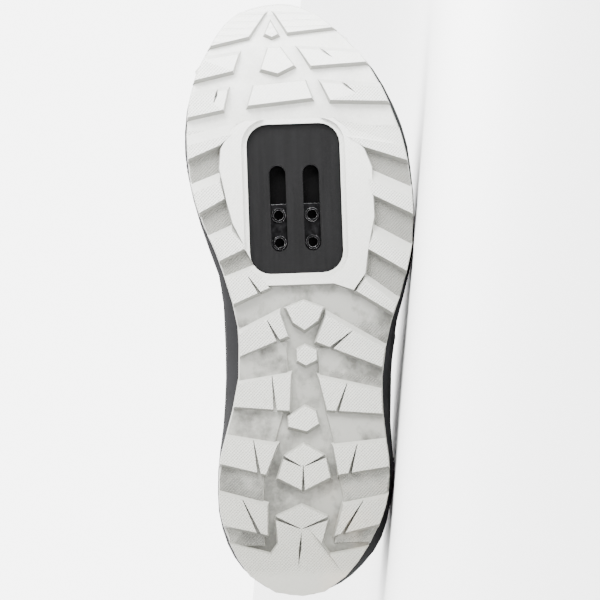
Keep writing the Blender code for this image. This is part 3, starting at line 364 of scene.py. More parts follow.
def off_upper(turn, share, lift):
    """The same points moved off the form, outward positive."""
    turn, share = np.broadcast_arrays(np.asarray(turn, float), np.asarray(share, float))
    step = 0.002
    round_it = on_upper(turn + step, share) - on_upper(turn - step, share)
    held = np.clip(share, step, 1 - step)
    up_it = on_upper(turn, held + step) - on_upper(turn, held - step)
    normal = np.cross(up_it, round_it)
    normal = normal / np.maximum(np.linalg.norm(normal, axis=-1), 1e-12)[..., None]
    return on_upper(turn, share) + normal * np.asarray(lift, float)[..., None]


def turn_at(along, side="medial"):
    """Turn round the foot at a share of the shoe's length, on one side."""
    turn = np.arccos(np.clip(2 * np.asarray(along, float) - 1, -1.0, 1.0)) / (2 * math.pi)
    return turn if side == "medial" else 1 - turn


# Meshes


def leave_all():
    bpy.ops.object.select_all(action="DESELECT")


def only(obj):
    leave_all()
    obj.select_set(True)
    bpy.context.view_layer.objects.active = obj


def apply_modifier(obj, kind, **settings):
    only(obj)
    modifier = obj.modifiers.new(kind.title(), kind)
    for key, value in settings.items():
        setattr(modifier, key, value)
    bpy.ops.object.modifier_apply(modifier=modifier.name)


def smooth(obj, degrees=35.0):
    only(obj)
    bpy.ops.object.shade_smooth_by_angle(angle=math.radians(degrees))


def copy_of(node, name):
    """Merged copy of a node of the frame, which it stands for."""
    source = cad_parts[node]
    obj = source.copy()
    obj.data = source.data.copy()
    obj.name = name
    bpy.context.scene.collection.objects.link(obj)
    obj.hide_set(False)
    obj.hide_render = False
    obj.parent = None
    obj.matrix_world = Matrix.Identity(4)
    only(obj)
    bpy.ops.object.mode_set(mode="EDIT")
    bpy.ops.mesh.select_all(action="SELECT")
    bpy.ops.mesh.remove_doubles(threshold=MERGE_DISTANCE)
    bpy.ops.mesh.dissolve_limited(angle_limit=math.radians(FLAT_ANGLE))
    bpy.ops.mesh.select_all(action="DESELECT")
    bpy.ops.object.mode_set(mode="OBJECT")
    return obj


def round_edges(obj, width, segments=2, degrees=30.0, material=-1):
    """Small rounds on all edges that are sharper than an angle, if wished in a material slot."""
    apply_modifier(
        obj,
        "BEVEL",
        width=width,
        segments=segments,
        limit_method="ANGLE",
        angle_limit=math.radians(degrees),
        use_clamp_overlap=True,
        material=material,
    )


def patch(name, columns, rows, place):
    """Grid whose points are placed by their shares along (from toe to heel) and up."""
    leave_all()
    bpy.ops.mesh.primitive_grid_add(x_subdivisions=columns, y_subdivisions=rows, size=1.0)
    obj = bpy.context.object
    obj.name = obj.data.name = name
    flat = np.empty(len(obj.data.vertices) * 3)
    obj.data.vertices.foreach_get("co", flat)
    shares = flat.reshape(-1, 3) + 0.5
    points = place(shares[:, 0], shares[:, 1])
    obj.data.vertices.foreach_set("co", points.ravel())
    scale_uv(obj.data, points, columns, rows)
    obj.data.flip_normals()
    obj.data.update()
    return obj


def scale_uv(mesh, points, columns, rows):
    """Sizes of the UV map in metres, taken through the middle of the grid."""
    grid = points.reshape(rows + 1, columns + 1, 3)
    along = np.linalg.norm(np.diff(grid[(rows + 1) // 2], axis=0), axis=1).sum()
    up = np.linalg.norm(np.diff(grid[:, (columns + 1) // 2], axis=0), axis=1).sum()
    layer = mesh.uv_layers.active.data
    flat = np.empty(len(layer) * 2)
    layer.foreach_get("uv", flat)
    layer.foreach_set("uv", (flat.reshape(-1, 2) * (along, up)).ravel())


def weld(obj):
    only(obj)
    bpy.ops.object.mode_set(mode="EDIT")
    bpy.ops.mesh.select_all(action="SELECT")
    bpy.ops.mesh.remove_doubles(threshold=WELD_DISTANCE)
    bpy.ops.object.mode_set(mode="OBJECT")


def thicken(obj, thickness, outward=True):
    apply_modifier(
        obj,
        "SOLIDIFY",
        thickness=thickness,
        offset=1.0 if outward else -1.0,
        use_even_offset=True,
    )


def lay_down(obj):
    """Turns a piece from the shoe's own axes to how it lies in the frame."""
    obj.data.transform(LIE)
    obj.data.update()


def dress(obj, finish):
    obj.data.materials.clear()
    obj.data.materials.append(finish)


def finish_piece(obj, finish, body="shoe", node=None, degrees=35.0, flat=False):
    smooth(obj, degrees)
    if flat:
        apply_modifier(obj, "WEIGHTED_NORMAL", keep_sharp=True, mode="FACE_AREA")
    dress(obj, finish)
    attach(obj, body)
    if node:
        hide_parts(node)
    leave_all()


# Materials


def node(tree, kind, inputs=None, **settings):
    """Adds a node; an input is a value or the socket that feeds it."""
    made = tree.nodes.new(kind)
    for key, value in settings.items():
        setattr(made, key, value)
    for key, value in (inputs or {}).items():
        if isinstance(value, bpy.types.NodeSocket):
            tree.links.new(value, made.inputs[key])
        else:
            made.inputs[key].default_value = value
    return made


# What a finish may set on its shader besides roughness
SHADER_SOCKETS = {
    "metallic": "Metallic",
    "specular": "Specular IOR Level",
    "sheen": "Sheen Weight",
}


def new_finish(name, roughness, **settings):
    """Material with its shader, and the node tree to lay its detail in."""
    made = bpy.data.materials.new(name)
    made.use_nodes = True
    tree = made.node_tree
    shader = tree.nodes["Principled BSDF"]
    shader.inputs["Roughness"].default_value = roughness
    for key, value in settings.items():
        shader.inputs[SHADER_SOCKETS[key]].default_value = value
    return made, tree, shader


def shoe_coordinates(tree, turned=0.0):
    """Object coordinates laid along the shoe's own axes, turned about its upright."""
    turn = Matrix.Rotation(math.radians(turned), 4, "Z") @ TO_SHOE
    source = node(tree, "ShaderNodeTexCoord").outputs["Object"]
    mapping = node(tree, "ShaderNodeMapping", {"Vector": source}, vector_type="POINT")
    mapping.inputs["Location"].default_value = turn.translation
    mapping.inputs["Rotation"].default_value = turn.to_euler()
    return mapping.outputs["Vector"]


def own_map(tree, turned=0.0):
    """The piece's own UV map, in metres."""
    source = node(tree, "ShaderNodeTexCoord").outputs["UV"]
    mapping = node(tree, "ShaderNodeMapping", {"Vector": source})
    mapping.inputs["Rotation"].default_value = (0.0, 0.0, math.radians(turned))
    return mapping.outputs["Vector"]


def noise(tree, vector, scale, detail=3.0, roughness=0.5):
    inputs = {"Vector": vector, "Scale": scale, "Detail": detail, "Roughness": roughness}
    return node(tree, "ShaderNodeTexNoise", inputs).outputs["Fac"]


def bands(tree, vector, pitch, axis="X", distortion=0.0, profile="SIN"):
    """Stripes at a pitch in metres."""
    inputs = {"Vector": vector, "Scale": math.pi / 10 / pitch, "Distortion": distortion}
    made = node(tree, "ShaderNodeTexWave", inputs, bands_direction=axis, wave_profile=profile)
    return made.outputs["Fac"]


def spread(tree, value, low, high, to_low=0.0, to_high=1.0):
    """Value moved from one range to another; the ends of the second may vary too."""
    inputs = {
        "Value": value,
        "From Min": low,
        "From Max": high,
        "To Min": to_low,
        "To Max": to_high,
    }
    return node(tree, "ShaderNodeMapRange", inputs).outputs["Result"]


def maths(tree, operation, first, second):
    made = node(tree, "ShaderNodeMath", operation=operation)
    for socket, value in zip(made.inputs, (first, second)):
        if isinstance(value, bpy.types.NodeSocket):
            tree.links.new(value, socket)
        else:
            socket.default_value = value
    return made.outputs[0]


def mixed(tree, factor, first, second):
    """Colour between two colours, by a factor that varies over the surface."""
    made = node(tree, "ShaderNodeMix", data_type="RGBA")
    for index, value in ((0, factor), (6, first), (7, second)):
        if isinstance(value, bpy.types.NodeSocket):
            tree.links.new(value, made.inputs[index])
        else:
            made.inputs[index].default_value = (*value, 1.0)
    return made.outputs[2]


def bump(tree, height, distance, under=None):
    """Relief of a depth in metres, on top of another one."""
    inputs = {"Height": height, "Distance": distance}
    if under is not None:
        inputs["Normal"] = under
    return node(tree, "ShaderNodeBump", inputs).outputs["Normal"]


def surface_share(tree, name):
    """Share that is marked on the faces under a name."""
    return node(tree, "ShaderNodeAttribute", attribute_name=name).outputs["Fac"]


def scaled(colour, factor):
    return tuple(min(1.0, channel * factor) for channel in colour)


def finished(tree, shader, colour=None, roughness=None, relief=None):
    for socket, value in (("Base Color", colour), ("Roughness", roughness), ("Normal", relief)):
        if value is not None:
            tree.links.new(value, shader.inputs[socket])


# From one line or cell of a pattern to the next
PITCH = {
    "hatch": 0.0010,
    "toe_groove": 0.0029,
    "socket_thread": 0.0008,
    "mesh_row": 0.0021,
    "mesh_column": 0.0017,
    "mesh_yarn": 0.0005,
    "lining": 0.0009,
    "spacer": 0.0016,
    "quilt": 0.0095,
    "twill": 0.0008,
    "tape_rib": 0.0007,
    "tape_cross": 0.0009,
    "twist": 0.0004,
    "footbed": 0.0012,
}

# Depth of each relief, negative where the pattern is cut in
DEPTH = {
    "rubber_grain": 0.00006,
    "hatch": -0.00016,
    "toe_groove": -0.00030,
    "foam_pits": 0.00010,
    "foam_grain": 0.00008,
    "nylon_grain": 0.00004,
    "nylon_lines": 0.00003,
    "steel_grain": 0.00003,
    "socket_thread": 0.00030,
    "pebbles": 0.00008,
    "hide": 0.00012,
    "mesh": 0.00030,
    "lining": 0.00016,
    "lining_fuzz": 0.00006,
    "spacer": -0.00020,
    "spacer_fuzz": 0.00005,
    "quilt": -0.00080,
    "twill": 0.00012,
    "tape": 0.00010,
    "twist": 0.00006,
    "footbed": 0.00012,
}

# Scale of each noise: the higher, the finer
FINENESS = {
    "rubber_cloud": 62.0,
    "rubber_wear": 70.0,
    "rubber_grain": 900.0,
    "foam_tone": 70.0,
    "foam_pits": 260.0,
    "foam_grain": 1400.0,
    "nylon_lines": 700.0,
    "nylon_grain": 2600.0,
    "steel_cloud": 420.0,
    "steel_highlight_patches": 500.0,
    "steel_grain": 3000.0,
    "pebbles": 1500.0,
    "hide": 220.0,
    "hide_tone": 45.0,
    "lining_fuzz": 2500.0,
    "spacer_fuzz": 1800.0,
    "strap_wear": 90.0,
    "footbed_tone": 60.0,
    "floor_tone": 3.0,
}

# Places along the shoe between which the heel's tint gives way to the toe's, and the hatch starts
# in front of the heel's smooth rim
TINT_SPAN = (0.02, 0.24)
HATCH_START = (0.008, 0.012)

# The wear grows towards the heel's end and towards the outer side
WEAR_SPAN = (0.06, 0.0)
WEAR_ACROSS = (0.0, 0.035)


def rubber_tone(tree, place, axes, cloud, colours):
    """White rubber, warmer at the heel, with painted shade, a clouded channel and a worn outer
    corner.
    """
    heel = tuple(colours.rubber_heel)
    toe_share = spread(tree, axes.outputs["X"], *TINT_SPAN)
    unshaded = mixed(tree, toe_share, heel, tuple(colours.rubber_toe))
    # painted shade: marked walls and floors are darkened towards a deep tone of the heel's colour
    base = mixed(tree, surface_share(tree, "painted_shade"), unshaded, scaled(heel, 0.36))
    cloudy = spread(tree, cloud, 0.43, 0.60)
    cloudy = maths(tree, "MULTIPLY", cloudy, surface_share(tree, "channel"))
    base = mixed(tree, cloudy, base, scaled(heel, 0.24))
    patches = noise(tree, place, FINENESS["rubber_wear"], 3.0)
    worn = spread(tree, patches, 0.42, 0.70, 0.0, 0.8)
    worn = maths(tree, "MULTIPLY", spread(tree, axes.outputs["X"], *WEAR_SPAN), worn)
    worn = maths(tree, "MULTIPLY", worn, spread(tree, axes.outputs["Y"], *WEAR_ACROSS))
    return mixed(tree, worn, base, tuple(colours.rubber_worn))


def rubber_weave(tree, axes):
    """Crossed fine lines where the rubber is hatched."""
    lines = bands(tree, shoe_coordinates(tree, 45.0), PITCH["hatch"])
    cross = bands(tree, shoe_coordinates(tree, -45.0), PITCH["hatch"])
    weave = maths(tree, "MULTIPLY", lines, maths(tree, "ADD", cross, 0.5))
    weave = maths(tree, "MULTIPLY", weave, surface_share(tree, "hatch"))
    return maths(tree, "MULTIPLY", weave, spread(tree, axes.outputs["X"], *HATCH_START))


def rubber_relief(tree, place, grain, weave):
    relief = bump(tree, grain, DEPTH["rubber_grain"])
    relief = bump(tree, weave, DEPTH["hatch"], relief)
    groove = spread(tree, bands(tree, place, PITCH["toe_groove"], "X"), 0.75, 1.0)
    groove = maths(tree, "MULTIPLY", groove, surface_share(tree, "grooved"))
    return bump(tree, groove, DEPTH["toe_groove"], relief)


def rubber_finish(colours):
    """Moulded white rubber: hatched lugs, mottled channel, painted highlights on the rounded edges
    and a warmer heel.
    """
    made, tree, shader = new_finish("moulded_rubber", 0.55, specular=0.35)
    heel = tuple(colours.rubber_heel)
    place = shoe_coordinates(tree)
    axes = node(tree, "ShaderNodeSeparateXYZ", {"Vector": place})
    cloud = noise(tree, place, FINENESS["rubber_cloud"], 5.0, 0.62)
    grain = noise(tree, place, FINENESS["rubber_grain"], 4.0)
    base = rubber_tone(tree, place, axes, cloud, colours)
    speckle = spread(tree, grain, 0.40, 0.75, 0.0, 0.14)
    base = mixed(tree, speckle, base, scaled(heel, 0.55))
    weave = rubber_weave(tree, axes)
    base = mixed(tree, maths(tree, "MULTIPLY", weave, 0.42), base, scaled(heel, 0.5))
    # painted highlight: the faces of the rounds are lightened as if they caught the light
    edge = maths(tree, "MULTIPLY", surface_share(tree, "edge"), 0.75)
    base = mixed(tree, edge, base, tuple(colours.rubber_edge_highlight))
    rough = spread(tree, cloud, 0.3, 0.7, 0.46, 0.64)
    finished(tree, shader, base, rough, rubber_relief(tree, place, grain, weave))
    return made


def foam_finish(colours):
    """Dark moulded foam with a fine skin, and painted shade, near black, in the pocket behind the
    cleat plate.
    """
    made, tree, shader = new_finish("moulded_foam", 0.8, specular=0.04)
    place = shoe_coordinates(tree)
    soft = noise(tree, place, FINENESS["foam_tone"], 3.0)
    dark = tuple(colours.foam)
    colour = mixed(tree, spread(tree, soft, 0.3, 0.7), scaled(dark, 0.85), scaled(dark, 1.25))
    # painted shade: the foam in the pocket behind the cleat plate is darkened to a tenth
    colour = mixed(tree, surface_share(tree, "pocket"), colour, scaled(dark, 0.1))
    relief = bump(tree, noise(tree, place, FINENESS["foam_pits"], 2.0), DEPTH["foam_pits"])
    grain = noise(tree, place, FINENESS["foam_grain"], 4.0)
    relief = bump(tree, grain, DEPTH["foam_grain"], relief)
    finished(tree, shader, colour, spread(tree, soft, 0.3, 0.7, 0.65, 0.85), relief)
    return made


def nylon_finish(colours):
    """Grained black nylon of the cleat plate, drawn in fine lines along the shoe."""
    made, tree, shader = new_finish("grained_nylon", 0.45, specular=0.12)
    place = shoe_coordinates(tree)
    stretched = node(tree, "ShaderNodeMapping", {"Vector": place})
    stretched.inputs["Scale"].default_value = (0.04, 1.0, 1.0)
    lines = noise(tree, stretched.outputs["Vector"], FINENESS["nylon_lines"], 2.0)
    dark = tuple(colours.nylon)
    colour = mixed(tree, spread(tree, lines, 0.35, 0.65), scaled(dark, 0.86), scaled(dark, 1.16))
    relief = bump(tree, noise(tree, place, FINENESS["nylon_grain"], 3.0), DEPTH["nylon_grain"])
    relief = bump(tree, lines, DEPTH["nylon_lines"], relief)
    finished(tree, shader, colour, spread(tree, lines, 0.3, 0.7, 0.38, 0.50), relief)
    return made


def steel_finish(colours):
    """Black zinc plating with threads in the sockets, and a painted highlight in patches on the
    rounds.
    """
    made, tree, shader = new_finish("plated_steel", 0.40, metallic=1.0, specular=0.15)
    place = shoe_coordinates(tree)
    cloud = noise(tree, place, FINENESS["steel_cloud"], 4.0)
    dark = tuple(colours.steel)
    colour = mixed(tree, spread(tree, cloud, 0.4, 0.7), scaled(dark, 0.6), scaled(dark, 1.5))
    # painted highlight: patches of the rounds get a bright metal colour for the glint on the socket
    # rims
    rim_highlight = noise(tree, place, FINENESS["steel_highlight_patches"], 2.0)
    rim_highlight = spread(tree, rim_highlight, 0.35, 0.60, 0.15, 1.0)
    rim_highlight = maths(tree, "MULTIPLY", rim_highlight, surface_share(tree, "edge"))
    colour = mixed(tree, rim_highlight, colour, tuple(colours.steel_edge_highlight))
    relief = bump(tree, noise(tree, place, FINENESS["steel_grain"], 2.0), DEPTH["steel_grain"])
    threads = bands(tree, place, PITCH["socket_thread"], "Z", 0.0, "SAW")
    relief = bump(tree, threads, DEPTH["socket_thread"], relief)
    finished(tree, shader, colour, spread(tree, cloud, 0.3, 0.7, 0.32, 0.50), relief)
    return made


def microfibre_finish(name, colour, gloss):
    """Coated microfibre: pebbled grain and slight unevenness of tone."""
    made, tree, shader = new_finish(name, gloss, specular=0.10)
    place = shoe_coordinates(tree)
    cells = node(tree, "ShaderNodeTexVoronoi", {"Vector": place, "Scale": FINENESS["pebbles"]})
    soft = noise(tree, place, FINENESS["hide_tone"], 4.0)
    tone = mixed(tree, spread(tree, soft, 0.3, 0.7), scaled(colour, 0.86), scaled(colour, 1.14))
    relief = bump(tree, cells.outputs["Distance"], DEPTH["pebbles"])
    relief = bump(tree, noise(tree, place, FINENESS["hide"], 3.0), DEPTH["hide"], relief)
    rough = spread(tree, soft, 0.3, 0.7, gloss - 0.06, gloss + 0.08)
    finished(tree, shader, tone, rough, relief)
    return made


def mesh_finish(colours):
    """Knitted air mesh: rows of small open cells between raised yarns."""
    made, tree, shader = new_finish("air_mesh", 0.8, specular=0.08)
    place = own_map(tree)
    rows = bands(tree, place, PITCH["mesh_row"], "Y")
    columns = bands(tree, place, PITCH["mesh_column"], "X")
    yarn = bands(tree, own_map(tree, 45.0), PITCH["mesh_yarn"], "X")
    opened = spread(tree, maths(tree, "MULTIPLY", rows, columns), 0.30, 0.62)
    thread = tuple(colours.mesh)
    lit = mixed(tree, yarn, scaled(thread, 0.75), scaled(thread, 1.2))
    colour = mixed(tree, opened, lit, scaled(thread, 0.22))
    height = maths(tree, "SUBTRACT", maths(tree, "MULTIPLY", yarn, 0.2), opened)
    rough = spread(tree, opened, 0.0, 1.0, 0.65, 0.95)
    finished(tree, shader, colour, rough, bump(tree, height, DEPTH["mesh"]))
    return made


def crossed(tree, place, pitch):
    """Lines both ways at one pitch, as in a plain weave."""
    return maths(tree, "MULTIPLY", bands(tree, place, pitch, "X"), bands(tree, place, pitch, "Y"))


def lining_finish(colours):
    """Soft woven lining with a brushed face."""
    made, tree, shader = new_finish("lining", 0.9, specular=0.06, sheen=0.02)
    place = own_map(tree)
    weave = crossed(tree, place, PITCH["lining"])
    fuzz = noise(tree, place, FINENESS["lining_fuzz"], 3.0)
    dark = tuple(colours.lining)
    colour = mixed(tree, weave, scaled(dark, 0.7), scaled(dark, 1.35))
    relief = bump(tree, fuzz, DEPTH["lining_fuzz"], bump(tree, weave, DEPTH["lining"]))
    finished(tree, shader, colour, spread(tree, fuzz, 0.3, 0.7, 0.82, 0.98), relief)
    return made


def padding_finish(colours):
    """Quilted spacer fabric of the tongue."""
    made, tree, shader = new_finish("spacer_fabric", 0.85, specular=0.06, sheen=0.02)
    place = shoe_coordinates(tree)
    across = bands(tree, shoe_coordinates(tree, 30.0), PITCH["spacer"], "Y")
    along = bands(tree, shoe_coordinates(tree, -30.0), PITCH["spacer"], "Y")
    cell = maths(tree, "MULTIPLY", across, along)
    dark = tuple(colours.padding)
    colour = mixed(tree, spread(tree, cell, 0.2, 0.7), scaled(dark, 1.3), scaled(dark, 0.5))
    quilting = spread(tree, bands(tree, place, PITCH["quilt"], "X"), 0.90, 1.0)
    relief = bump(tree, cell, DEPTH["spacer"])
    relief = bump(tree, quilting, DEPTH["quilt"], relief)
    fuzz = noise(tree, place, FINENESS["spacer_fuzz"], 3.0)
    relief = bump(tree, fuzz, DEPTH["spacer_fuzz"], relief)
    finished(tree, shader, colour, spread(tree, cell, 0.0, 1.0, 0.78, 0.95), relief)
    return made


def webbing_finish(colours):
    """Strap of coated weave: fine twill lines under a satin coat."""
    made, tree, shader = new_finish("strap_weave", 0.55, specular=0.12)
    twill = bands(tree, shoe_coordinates(tree, 62.0), PITCH["twill"], "Y")
    rib = bands(tree, shoe_coordinates(tree, -20.0), PITCH["twill"], "X")
    both = maths(tree, "MULTIPLY", twill, rib)
    dark = tuple(colours.strap)
    colour = mixed(tree, both, scaled(dark, 0.75), scaled(dark, 1.45))
    wear = noise(tree, shoe_coordinates(tree), FINENESS["strap_wear"], 4.0)
    rough = spread(tree, wear, 0.3, 0.7, 0.48, 0.64)
    finished(tree, shader, colour, rough, bump(tree, both, DEPTH["twill"]))
    return made


def binding_finish(colours):
    """Ribbed tape folded over the top edge."""
    made, tree, shader = new_finish("binding_tape", 0.8, specular=0.06, sheen=0.02)
    place = own_map(tree)
    rib = bands(tree, place, PITCH["tape_rib"], "X")
    cross = bands(tree, place, PITCH["tape_cross"], "Y")
    both = maths(tree, "MULTIPLY", rib, cross)
    dark = tuple(colours.binding)
    colour = mixed(tree, both, scaled(dark, 0.7), scaled(dark, 1.4))
    rough = spread(tree, cross, 0.0, 1.0, 0.7, 0.9)
    finished(tree, shader, colour, rough, bump(tree, both, DEPTH["tape"]))
    return made


def thread_finish(colours):
    """Twisted sewing thread."""
    made, tree, shader = new_finish("sewing_thread", 0.7, specular=0.15)
    twist = bands(tree, shoe_coordinates(tree, 35.0), PITCH["twist"], "X")
    tone = tuple(colours.thread)
    colour = mixed(tree, twist, scaled(tone, 0.6), scaled(tone, 1.3))
    finished(tree, shader, colour, None, bump(tree, twist, DEPTH["twist"]))
    return made


def footbed_finish(colours):
    """Brushed textile of the insole."""
    made, tree, shader = new_finish("footbed_cloth", 0.9, specular=0.06, sheen=0.02)
    place = shoe_coordinates(tree)
    weave = crossed(tree, place, PITCH["footbed"])
    soft = noise(tree, place, FINENESS["footbed_tone"], 4.0)
    tone = tuple(colours.footbed)
    share = maths(tree, "MULTIPLY", weave, soft)
    colour = mixed(tree, share, scaled(tone, 0.8), scaled(tone, 1.6))
    rough = spread(tree, soft, 0.3, 0.7, 0.82, 0.96)
    finished(tree, shader, colour, rough, bump(tree, weave, DEPTH["footbed"]))
    return made


def floor_finish(colours):
    """Pale studio floor with the faintest unevenness."""
    made, tree, shader = new_finish("studio_floor", 0.8)
    place = node(tree, "ShaderNodeTexCoord").outputs["Object"]
    soft = noise(tree, place, FINENESS["floor_tone"], 2.0)
    pale = tuple(colours.floor)
    finished(tree, shader, mixed(tree, spread(tree, soft, 0.3, 0.7), scaled(pale, 0.985), pale))
    return made


# Sizes and colours that a user would change


def colour_property(name, description, default):
    return bpy.props.FloatVectorProperty(
        name=name,
        description=description,
        subtype="COLOR",
        min=0.0,
        max=1.0,
        default=default,
    )


def length_property(name, description, default):
    return bpy.props.FloatProperty(
        name=name,
        description=description,
        unit="LENGTH",
        min=0.0,
        precision=4,
        default=default,
    )


class ShoeColours(bpy.types.PropertyGroup):
    rubber_toe: colour_property("Rubber at the toe", "Outsole", (0.74, 0.745, 0.72))
    rubber_heel: colour_property("Rubber at the heel", "Outsole", (0.370, 0.370, 0.330))
    # Light colour painted on the rounded edges of the lugs as a highlight
    rubber_edge_highlight: colour_property("Rubber edges", "Polished rounds", (0.92, 0.92, 0.90))
    rubber_worn: colour_property("Worn rubber", "Outer corner of the heel", (0.50, 0.40, 0.30))
    foam: colour_property("Midsole", "Moulded foam", (0.0150, 0.0150, 0.0160))
    nylon: colour_property("Cleat plate", "Grained nylon", (0.0035, 0.0035, 0.0038))
    steel: colour_property("Nut plate", "Black zinc plating", (0.008, 0.008, 0.0085))
    # Bright colour painted on the nut plate's rounds as a highlight
    steel_edge_highlight: colour_property("Nut plate's edges", "Plating rubbed through", (0.62, 0.62, 0.63))
    quarter: colour_property("Quarters", "Grey microfibre", (0.0070, 0.0072, 0.0078))
    guard: colour_property("Toe and heel guards", "Black microfibre", (0.0032, 0.0032, 0.0035))
    mesh: colour_property("Air mesh", "Knitted vamp", (0.0150, 0.0135, 0.0125))
    lining: colour_property("Lining", "Woven lining", (0.0060, 0.0060, 0.0065))
    padding: colour_property("Tongue", "Spacer fabric", (0.0060, 0.0060, 0.0065))
    strap: colour_property("Straps", "Coated weave", (0.0030, 0.0030, 0.0033))
    binding: colour_property("Binding", "Ribbed tape", (0.0030, 0.0030, 0.0032))
    thread: colour_property("Thread", "Sewing thread", (0.020, 0.020, 0.021))
    footbed: colour_property("Insole", "Brushed textile", (0.0090, 0.0090, 0.0100))
    floor: colour_property("Floor", "Studio floor", (0.92, 0.92, 0.92))


class ShoeSizes(bpy.types.PropertyGroup):
    rubber_round: length_property("Rubber rounds", "Rounds on the lugs' edges", 0.00036)
    shell: length_property("Mesh shell", "Thickness of the knitted shell", 0.0007)
    overlay: length_property("Overlays", "Thickness of a sewn-on panel", 0.0004)
    lining: length_property("Lining", "Thickness of the lining", 0.0006)
    collar_pad: length_property("Collar pad", "How far the collar's padding stands in", 0.0045)
    stitch: length_property("Stitch", "Length of one stitch", 0.0019)
    stitch_pitch: length_property("Stitch pitch", "From one stitch to the next", 0.0026)
    thread: length_property("Thread", "Thickness of the thread", 0.00055)


def sizes():
    return bpy.context.scene.shoe_sizes


def colours():
    return bpy.context.scene.shoe_colours


# Outsole

# A face whose normal has less than this upwards looks down at the ground
DOWN = -0.8

# Shares of the length between which the toe pads are grooved
TOE_GROOVES = (0.925, 0.985)

# Share of the length where the floor's mottle and painted shade start to fade, and over which they
# do
MOTTLE_AND_SHADE_FADE_FROM = 0.55
MOTTLE_AND_SHADE_FADE_OVER = 0.22

# Shares of the length between which deep pockets lie beside the cleat plate, outside this share
# of the tread's half width
POCKET_SPAN = (0.50, 0.76)
POCKET_OUTER = 0.50

# Shares of the tread's half width: the mottled channel lies within the first, and the floor is
# hatched outside the second
CHANNEL_OUTER = 0.60
FLOOR_HATCH_OUTER = 0.45

# The lugs are hatched strongly behind this place along the shoe, and in front of it only outside
# this share of the tread's half width
LUG_HATCH_X = 0.135
LUG_HATCH_OUTER = 0.62


def two_slots(obj):
    """Two empty material slots, the second for the rounds."""
    obj.data.materials.clear()
    for _ in range(2):
        obj.data.materials.append(None)


def mark_edges(obj):
    """Marks the faces that a round has added, which carry the second material slot."""
    edge = obj.data.attributes.new("edge", "FLOAT", "FACE")
    for face in obj.data.polygons:
        edge.data[face.index].value = float(face.material_index)
        face.material_index = 0


def mark_faces(obj):
    """Marks where the rubber is hatched, mottled and grooved, and where it gets painted shade."""
    marks = [face_marks(face) for face in obj.data.polygons]
    for name in marks[0]:
        layer = obj.data.attributes.new(name, "FLOAT", "FACE")
        layer.data.foreach_set("value", [mark[name] for mark in marks])


def face_marks(face):
    x, y, z = face.center
    depth = z - float(lug_face_z(x))
    down = face.normal.z < DOWN
    outer = abs(y - tread_middle(x)) / (TREAD_WIDTH / 2)
    on_floor = down and depth > 0.6 * LUG_HEIGHT
    on_pad = down and not on_floor and TOE_GROOVES[0] < x / LENGTH < TOE_GROOVES[1]
    return {
        "hatch": hatch_share(x, outer, down, on_floor),
        "channel": toe_fade(x) if on_floor and outer < CHANNEL_OUTER else 0.0,
        # painted shade: darker floors in the recesses and darker walls where they face away from the
        # lamps
        "painted_shade": floor_painted_shade(x, outer) if on_floor else wall_painted_shade(face.normal),
        "grooved": float(on_pad),
    }


def toe_fade(x):
    """1 over the arch and heel, falling to a little at the toe, where the floor's mottle and painted
    shade stay faint.
    """
    return 1.0 - 0.85 * float(curve_share((x / LENGTH - MOTTLE_AND_SHADE_FADE_FROM) / MOTTLE_AND_SHADE_FADE_OVER))


def floor_painted_shade(x, outer):
    """Painted shade on the tread's floor, more in the deep pockets beside the plate."""
    beside_plate = outer > POCKET_OUTER and POCKET_SPAN[0] < x / LENGTH < POCKET_SPAN[1]
    return 0.92 if beside_plate else 0.66 * toe_fade(x)


def wall_painted_shade(normal):
    """Painted shade on a lug's walls: most on the rear ones, away from the lamp, hardly any on the
    front.
    """
    if normal.z < DOWN or normal.z > 0.3:
        return 0.0
    return 0.18 + 0.70 * max(0.0, -normal.x) + 0.30 * abs(normal.y)


def tread_middle(x):
    along = x / LENGTH
    sides = OUTLINE.at("medial_tread", along) + OUTLINE.at("lateral_tread", along)
    return float(sides) * TREAD_WIDTH / 2


def hatch_share(x, outer, down, on_floor):
    """Strength of the hatch: full in the outer pockets, none in the channel, faint on the middle
    of the forefoot.
    """
    if not down:
        return 0.0
    if on_floor:
        return 1.0 if outer > FLOOR_HATCH_OUTER else 0.0
    return 0.9 if x < LUG_HATCH_X or outer > LUG_HATCH_OUTER else 0.25


class SHOE_OT_outsole(bpy.types.Operator):
    """White rubber outsole with rounded lugs, hatched faces and a toe bumper"""

    bl_idname = "shoe.outsole"
    bl_label = "Outsole"

    def execute(self, context):
        obj = copy_of("outsole", "outsole_rubber")
        obj.data.transform(TO_SHOE)
        mark_faces(obj)
        two_slots(obj)
        round_edges(obj, sizes().rubber_round, material=1)
        mark_edges(obj)
        lay_down(obj)
        finish = rubber_finish(colours())
        finish_piece(obj, finish, node="outsole", flat=True)
        return {"FINISHED"}


# Midsole


def mark_pocket(obj):
    """Marks the foam behind the cleat plate, which is painted near black as the shade seen through
    the slots.
    """
    half_length, half_width = PLATE_SIZE[0] / 2, PLATE_SIZE[1] / 2
    marks = []
    for face in obj.data.polygons:
        away = (TO_SHOE @ face.center).xy - Vector(PLATE_CENTRE)
        marks.append(float(abs(away.x) < half_length and abs(away.y) < half_width))
    obj.data.attributes.new("pocket", "FLOAT", "FACE").data.foreach_set("value", marks)


class SHOE_OT_midsole(bpy.types.Operator):
    """Dark foam midsole with a stepped side wall and the pocket of the nut plate"""

    bl_idname = "shoe.midsole"
    bl_label = "Midsole"

    def execute(self, context):
        obj = copy_of("midsole", "midsole_foam")
        round_edges(obj, ROUND["midsole"])
        mark_pocket(obj)
        finish = foam_finish(colours())
        finish_piece(obj, finish, node="midsole", degrees=28.0)
        return {"FINISHED"}


# Cleat plate and nut plate


